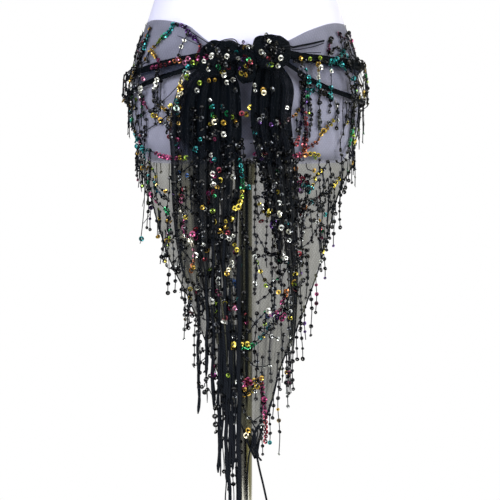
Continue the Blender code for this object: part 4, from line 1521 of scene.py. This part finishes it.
loops = [bare(on_front(*row_line(pins)), radius) for radius, *pins in LOOPS]
hip_rows = row_strands(HIP_ROWS) + loops
swags_hips = string_up("swags_of_hips", hip_rows, large_sequin, 0.10, 0.6, seed=11)
swags_panel = string_up("swags_of_panel", row_strands(PANEL_ROWS), large_sequin, 0.12, 0.6, seed=12)

# %% [markdown]
# ## Loose black strands of the front
#
# Between the coloured rows hang many black strands: short swags from pin to pin, strands that hang
# straight down the net, more of them close to the two legs and at the right of the pole, and small
# tangles on the tails and the knot. They have no pattern, so pins are scattered with a fixed seed,
# as evenly as a hand would set them, and each gets a swag, a hanging strand or both.

# %% Scattered strands of the front
RAINBOW = ("teal", "green", "lime", "yellow", "gold", "red", "magenta", "purple", "teal", "green")
BLACKS_WITH_GLINTS = ("black", "grey_glint", "black", "grey_glint", "silver_glint", "black")
LOOSE_SPACING = 0.0105


def scattered(count, low, high, inside, apart):
    """Pins in a box that are inside a test and at least `apart` from each other."""
    kept = []
    for _ in range(count * 60):
        if len(kept) == count:
            break
        pin = chance.uniform(low, high)
        if inside(pin) and all(np.hypot(*(pin - other)) > apart for other in kept):
            kept.append(pin)
    return kept


def bead_colours(bright):
    """Black beads, some with painted grey and silver glints, and a run of neighbouring colours for a share of
    the strands.
    """
    if chance.random() > bright:
        return BLACKS_WITH_GLINTS if chance.random() < 0.45 else BLACKS * 4
    first = int(chance.integers(0, len(RAINBOW) - 3))
    one, two, three = RAINBOW[first : first + 3]
    return (one, two, "black", three) if chance.random() < 0.5 else ("black", one, "black", "black")


def loose_strand(points, bright):
    """A strand of beads; `bright` is the chance that it has colours."""
    facing = outward(points) + (0, -0.4, 0)
    return strand(points, facing, bead_colours(bright), step=LOOSE_SPACING)


def swag_between(start, end, sag, bright, surface_point=on_front):
    """A strand that sags between two pins."""
    share = np.linspace(0, 1, max(6, int(np.hypot(*(end - start)) / 0.004)))
    x = start[0] + (end[0] - start[0]) * share + 0.002 * np.sin(9 * share + start[0] * 90)
    z = start[1] + (end[1] - start[1]) * share - sag * 4 * share * (1 - share)
    return loose_strand(surface_point(x, z), bright)


def drop_from(pin, length, bright, surface_point=on_front):
    """A strand that hangs down the cloth from a pin."""
    z = pin[1] - np.arange(0, length, 0.005)
    x = pin[0] + chance.normal(0, 0.04) * (pin[1] - z) + 0.0012 * np.sin((pin[1] - z) / 0.012 + pin[0] * 50)
    return loose_strand(surface_point(x, z), bright)


def in_panel(pin, edge=0.010):
    """Whether a pin lies on the front panel, clear of its legs' edges."""
    left, right = edges(LEGS, min(max(pin[1], PANEL_FOOT), HANG_HEIGHT))
    return left + edge < pin[0] < right - edge


def in_tail(label, margin=0.004):
    """A test of whether a pin lies on one tail."""
    def test(pin):
        left, right = edges(TAILS[label], pin[1])
        return left - margin < pin[0] < right + margin

    return test


def in_knot(centre, half_box):
    """A test of whether a pin lies on one lobe of the knot."""
    return lambda pin: np.hypot(*((pin - centre) / half_box)) < 1.0


loose = []
for pin in scattered(58, (-0.15, 0.30), (0.15, 0.665), in_panel, 0.026):
    way = -1 if pin[0] > 0.02 else 1
    if chance.random() < 0.55:
        end = pin + (way * chance.uniform(0.022, 0.050), -chance.uniform(0.020, 0.055))
        if in_panel(end):
            loose.append(swag_between(pin, end, chance.uniform(0.004, 0.014), 0.25))
    loose.append(drop_from(pin, min(chance.uniform(0.035, 0.090), pin[1] - 0.24), 0.10))
for side, count in (("left", 22), ("right", 11)):
    for height in chance.uniform(0.535, 0.668, count):
        inward = -SIDES[side] * chance.uniform(0.001, 0.018)
        pin = (float(smooth(LEGS, side, height)) + inward, height)
        loose.append(drop_from(pin, chance.uniform(0.020, 0.050), 0.30))
for pin in scattered(15, (0.065, 0.57), (0.150, 0.665), in_panel, 0.011):
    end = pin + (chance.uniform(-0.030, 0.030), -chance.uniform(0.000, 0.030))
    loose.append(swag_between(pin, end, chance.uniform(0.003, 0.010), 0.40))
    if chance.random() < 0.5:
        loose.append(drop_from(pin, chance.uniform(0.020, 0.055), 0.10))
for pin in scattered(6, (-0.165, 0.70), (0.165, 0.80), lambda pin: abs(pin[0]) > 0.075, 0.030):
    if chance.random() < 0.5:
        end = pin + (chance.uniform(-0.035, 0.035), -chance.uniform(0.010, 0.040))
        loose.append(swag_between(pin, end, chance.uniform(0.004, 0.012), 0.35))
    loose.append(drop_from(pin, chance.uniform(0.025, 0.060), 0.15))
for pin in scattered(26, (0.013, 0.36), (0.125, 0.64), in_panel, 0.014):
    loose.append(drop_from(pin, min(chance.uniform(0.030, 0.080), pin[1] - 0.26), 0.06))
loose_panel = string_up("strands_of_panel", loose, small_sequin, 0.12, 0.5, seed=14)

# %% [markdown]
# The tangles of the tails leave out the low outer part of the left tail, where its strips hang free.
# On the knot each end is pulled back inside the lump it lies on. One stray thread leaves the right
# shoulder of the hip and hangs clear of it.

# %% Tangles on the tails and the knot
STRAY_TOP = 0.832
STRAY = {"height": (0.755, 0.778, STRAY_TOP), "angle": (92, 84, 64)}

tangles = []
for label, count, low, high in (
    ("left", 100, (-0.118, 0.30), (0.0, 0.74)),
    ("right", 42, (0.0, 0.42), (0.085, 0.74)),
):
    for pin in scattered(count, low, high, in_tail(label), 0.011):
        if label == "left" and pin[0] < -0.060 and pin[1] < 0.42:
            continue
        size = chance.uniform(0.010, 0.024)
        end = pin + (chance.uniform(-size, size), -chance.uniform(0.3, 1.0) * size)
        tangles.append(swag_between(pin, end, chance.uniform(0.002, 0.012), 0.20))
        if chance.random() < 0.45:
            tangles.append(drop_from(pin, chance.uniform(0.02, 0.06), 0.10))
for label, count in (("left", 20), ("right", 22), ("core", 9)):
    lump = KNOT[label]
    centre = np.array((lump["x"], lump["z"]))
    half_box = 0.78 * np.array(lump["half"])[[0, 2]]
    on_lump = in_knot(centre, half_box)
    for pin in scattered(count, centre - half_box, centre + half_box, on_lump, 0.0045):
        end = pin + chance.uniform(-0.011, 0.011, 2)
        end = centre + (end - centre) / max(1.0, np.hypot(*((end - centre) / half_box)))
        tangles.append(swag_between(pin, end, chance.uniform(0.001, 0.005), 0.35))
level = np.arange(STRAY_TOP, 0.750, -0.004)
stray_out = 0.0030 + 0.0065 * below(level, 0.80, 0.755)
stray = plumb(smooth(STRAY, "angle", level), STRAY_TOP, level, stray_out)
tangles.append(strand(stray, outward(stray), BLACKS, 0.0006, 0.35))
loose_tails = string_up("strands_of_tails", tangles, large_sequin, 0.25, 0.9, seed=15)

# %% [markdown]
# ## Single bright sequins
#
# Large sequins are also sewn one by one on the knot, the tails and the hips: white, cream, gold and
# other colours, and some silver and grey ones. The white, silver and grey colours are painted
# highlights, the flash that a sequin shows. Each is on its own short stitch of thread and is turned a
# little to the right, so it catches the bright wall of the room and flashes.

# %% Single sequins
SINGLES = (
    ("white", (-58, 785), (-34, 692), (-51, 635), (-49, 620), (-131, 620), (-85, 537), (-77, 517),
     (-36, 545), (112, 791), (128, 786), (-133, 774), (-158, 762), (-65, 797), (-53, 805), (-102, 750),
     (-87, 782), (36, 825), (62, 731), (24, 587), (33, 436), (37, 421), (-21, 507), (-19, 545), (51, 578),
     (-30, 803), (-34, 777), (-20, 771), (-29, 767), (54, 801)),
    ("cream", (-48, 710), (27, 662), (27, 752), (-98, 752), (-94, 545), (-11, 513), (-27, 496), (0, 255)),
    ("gold", (82, 803), (-72, 805), (-47, 771), (-56, 770), (-99, 760), (-134, 722), (-116, 716),
     (26, 756), (-34, 709), (-67, 586), (-80, 499), (-2, 322), (23, 338), (3, 262)),
    ("yellow", (-100, 659), (-31, 566), (-17, 585), (-14, 525), (-92, 572), (-19, 388), (-6, 388),
     (2, 388)),
    ("lime", (96, 803), (111, 805), (-80, 797), (-89, 776), (-70, 767), (-6, 602)),
    ("green", (-48, 603)),
    ("teal", (129, 801), (-105, 741), (-15, 809), (-156, 541), (-76, 671), (-70, 685), (4, 616),
     (-12, 453)),
    ("rose", (-154, 776), (-103, 803), (-87, 803), (-92, 797), (-98, 597), (-94, 557), (-17, 440)),
    ("magenta", (-48, 685), (-82, 548), (-57, 607), (-25, 441), (46, 434), (-3, 327), (3, 337), (27, 307)),
    ("purple", (21, 709), (38, 706), (-4, 827)),
    ("blue", (-90, 633)),
    ("red", (7, 794)),
    ("silver_glint", (3, 816), (12, 816), (30, 838), (24, 809), (29, 806), (49, 790), (13, 763), (14, 755),
     (-12, 800), (-74, 756), (-54, 742), (-53, 662), (-65, 532), (-52, 450), (48, 635), (50, 593),
     (33, 578), (54, 557), (65, 551), (-75, 470), (-44, 480), (-20, 630), (-2, 620)),
    ("grey_glint", (-126, 741), (-118, 705), (-114, 691), (122, 712), (109, 712), (109, 703), (-32, 791),
     (34, 791), (-16, 756), (40, 757), (-12, 676), (21, 673), (38, 680), (61, 566), (-102, 726),
     (-44, 812)),
)
SINGLE_PROUD = 0.0044


def stitch(x, height, colour):
    """One sequin at the end of a stitch 7 mm long."""
    along = np.linspace(-0.0035, 0.0035, 4)
    points = on_front(x + 0.3 * along, height + along, SINGLE_PROUD)
    facing = (chance.normal(0.40, 0.12), -1, chance.normal(0.12, 0.15))
    return strand(points, facing, (colour,), 0.0005, bead=(0.0, 0.0, 0.0, 1.0))


stitches = [stitch(x / 1000, z / 1000, colour) for colour, *pins in SINGLES for x, z in pins]
singles = string_up("single_sequins", stitches, large_sequin, 0.0, 0.15, seed=16)

# %% [markdown]
# ## Swags of the sides and the back
#
# Round the sides and the back the same swags and hanging strands go on over the wings and the bands.
# A place there is a length round the hips from the front, and a height.

# %% Scattered strands of the sides and back


def wrapped_out(angle, height):
    """How far the outermost cloth stands off the form at an angle beyond the side seams."""
    out = wing_out(np.abs(angle))
    for label, side in SIDES.items():
        near = over_band(BANDS[label], np.abs(angle), height)
        out = np.maximum(out, near * (np.sign(angle) == side) * BAND_FACE)
    return out


def on_side(arc, height):
    """A point on the sides or back: arc is in metres round the hips from the front."""
    angle = np.degrees(arc / HIP_RADIUS)
    return draped(angle, height, wrapped_out(angle, height) + SWAG_PROUD)


def in_wing(pin, edge=0.006):
    """Whether a pin lies on a wing, clear of its top and foot."""
    table = WINGS["right" if pin[0] > 0 else "left"]
    top, foot = edges(table, math.degrees(abs(pin[0]) / HIP_RADIUS), "top", "foot")
    return foot + edge < pin[1] < top - edge


draped_round = []
for side in (-1, 1):
    near, far = sorted((side * 0.150, side * 0.462))
    for pin in scattered(58, (near, 0.665), (far, 0.865), in_wing, 0.019):
        if chance.random() < 0.7:
            end = pin + (side * chance.uniform(0.020, 0.048), -chance.uniform(-0.012, 0.030))
            draped_round.append(swag_between(pin, end, chance.uniform(0.006, 0.020), 0.55, on_side))
        if chance.random() < 0.6:
            draped_round.append(drop_from(pin, chance.uniform(0.025, 0.060), 0.15, on_side))
swags_back = string_up("swags_of_back", draped_round, small_sequin, 0.12, 0.6, seed=17)

# %% [markdown]
# ## Print the sizes and finish
#
# The flat size of each sheet, measured on its own cloth map, and its area are printed. The two
# sequins that were copied are taken away.


def cut_of(piece):
    """The width and length of the piece laid flat, from its cloth map, and its area."""
    spots = np.empty(len(piece.data.loops) * 2, np.float32)
    piece.data.uv_layers["cloth"].data.foreach_get("uv", spots)
    width, length = np.ptp(spots.reshape(-1, 2), axis=0)
    area = mesh_area(piece)
    return (float(width), float(length)), min(area, float(width * length))


def declare(piece):
    flat, area = cut_of(piece)
    print(piece.name, "flat", [round(v, 3) for v in flat], "area", round(area, 4))


declare(panel)
declare(wings["left"])
declare(wings["right"])
declare(bands["front_left"])
declare(bands["front_right"])
declare(bands["back_left"])
declare(bands["back_right"])
declare(tails["left"])
declare(tails["right"])
for knot in knots:
    declare(knot)

# %% Remove the copied sequins
for cup in (large_sequin, small_sequin):
    bpy.data.objects.remove(cup)
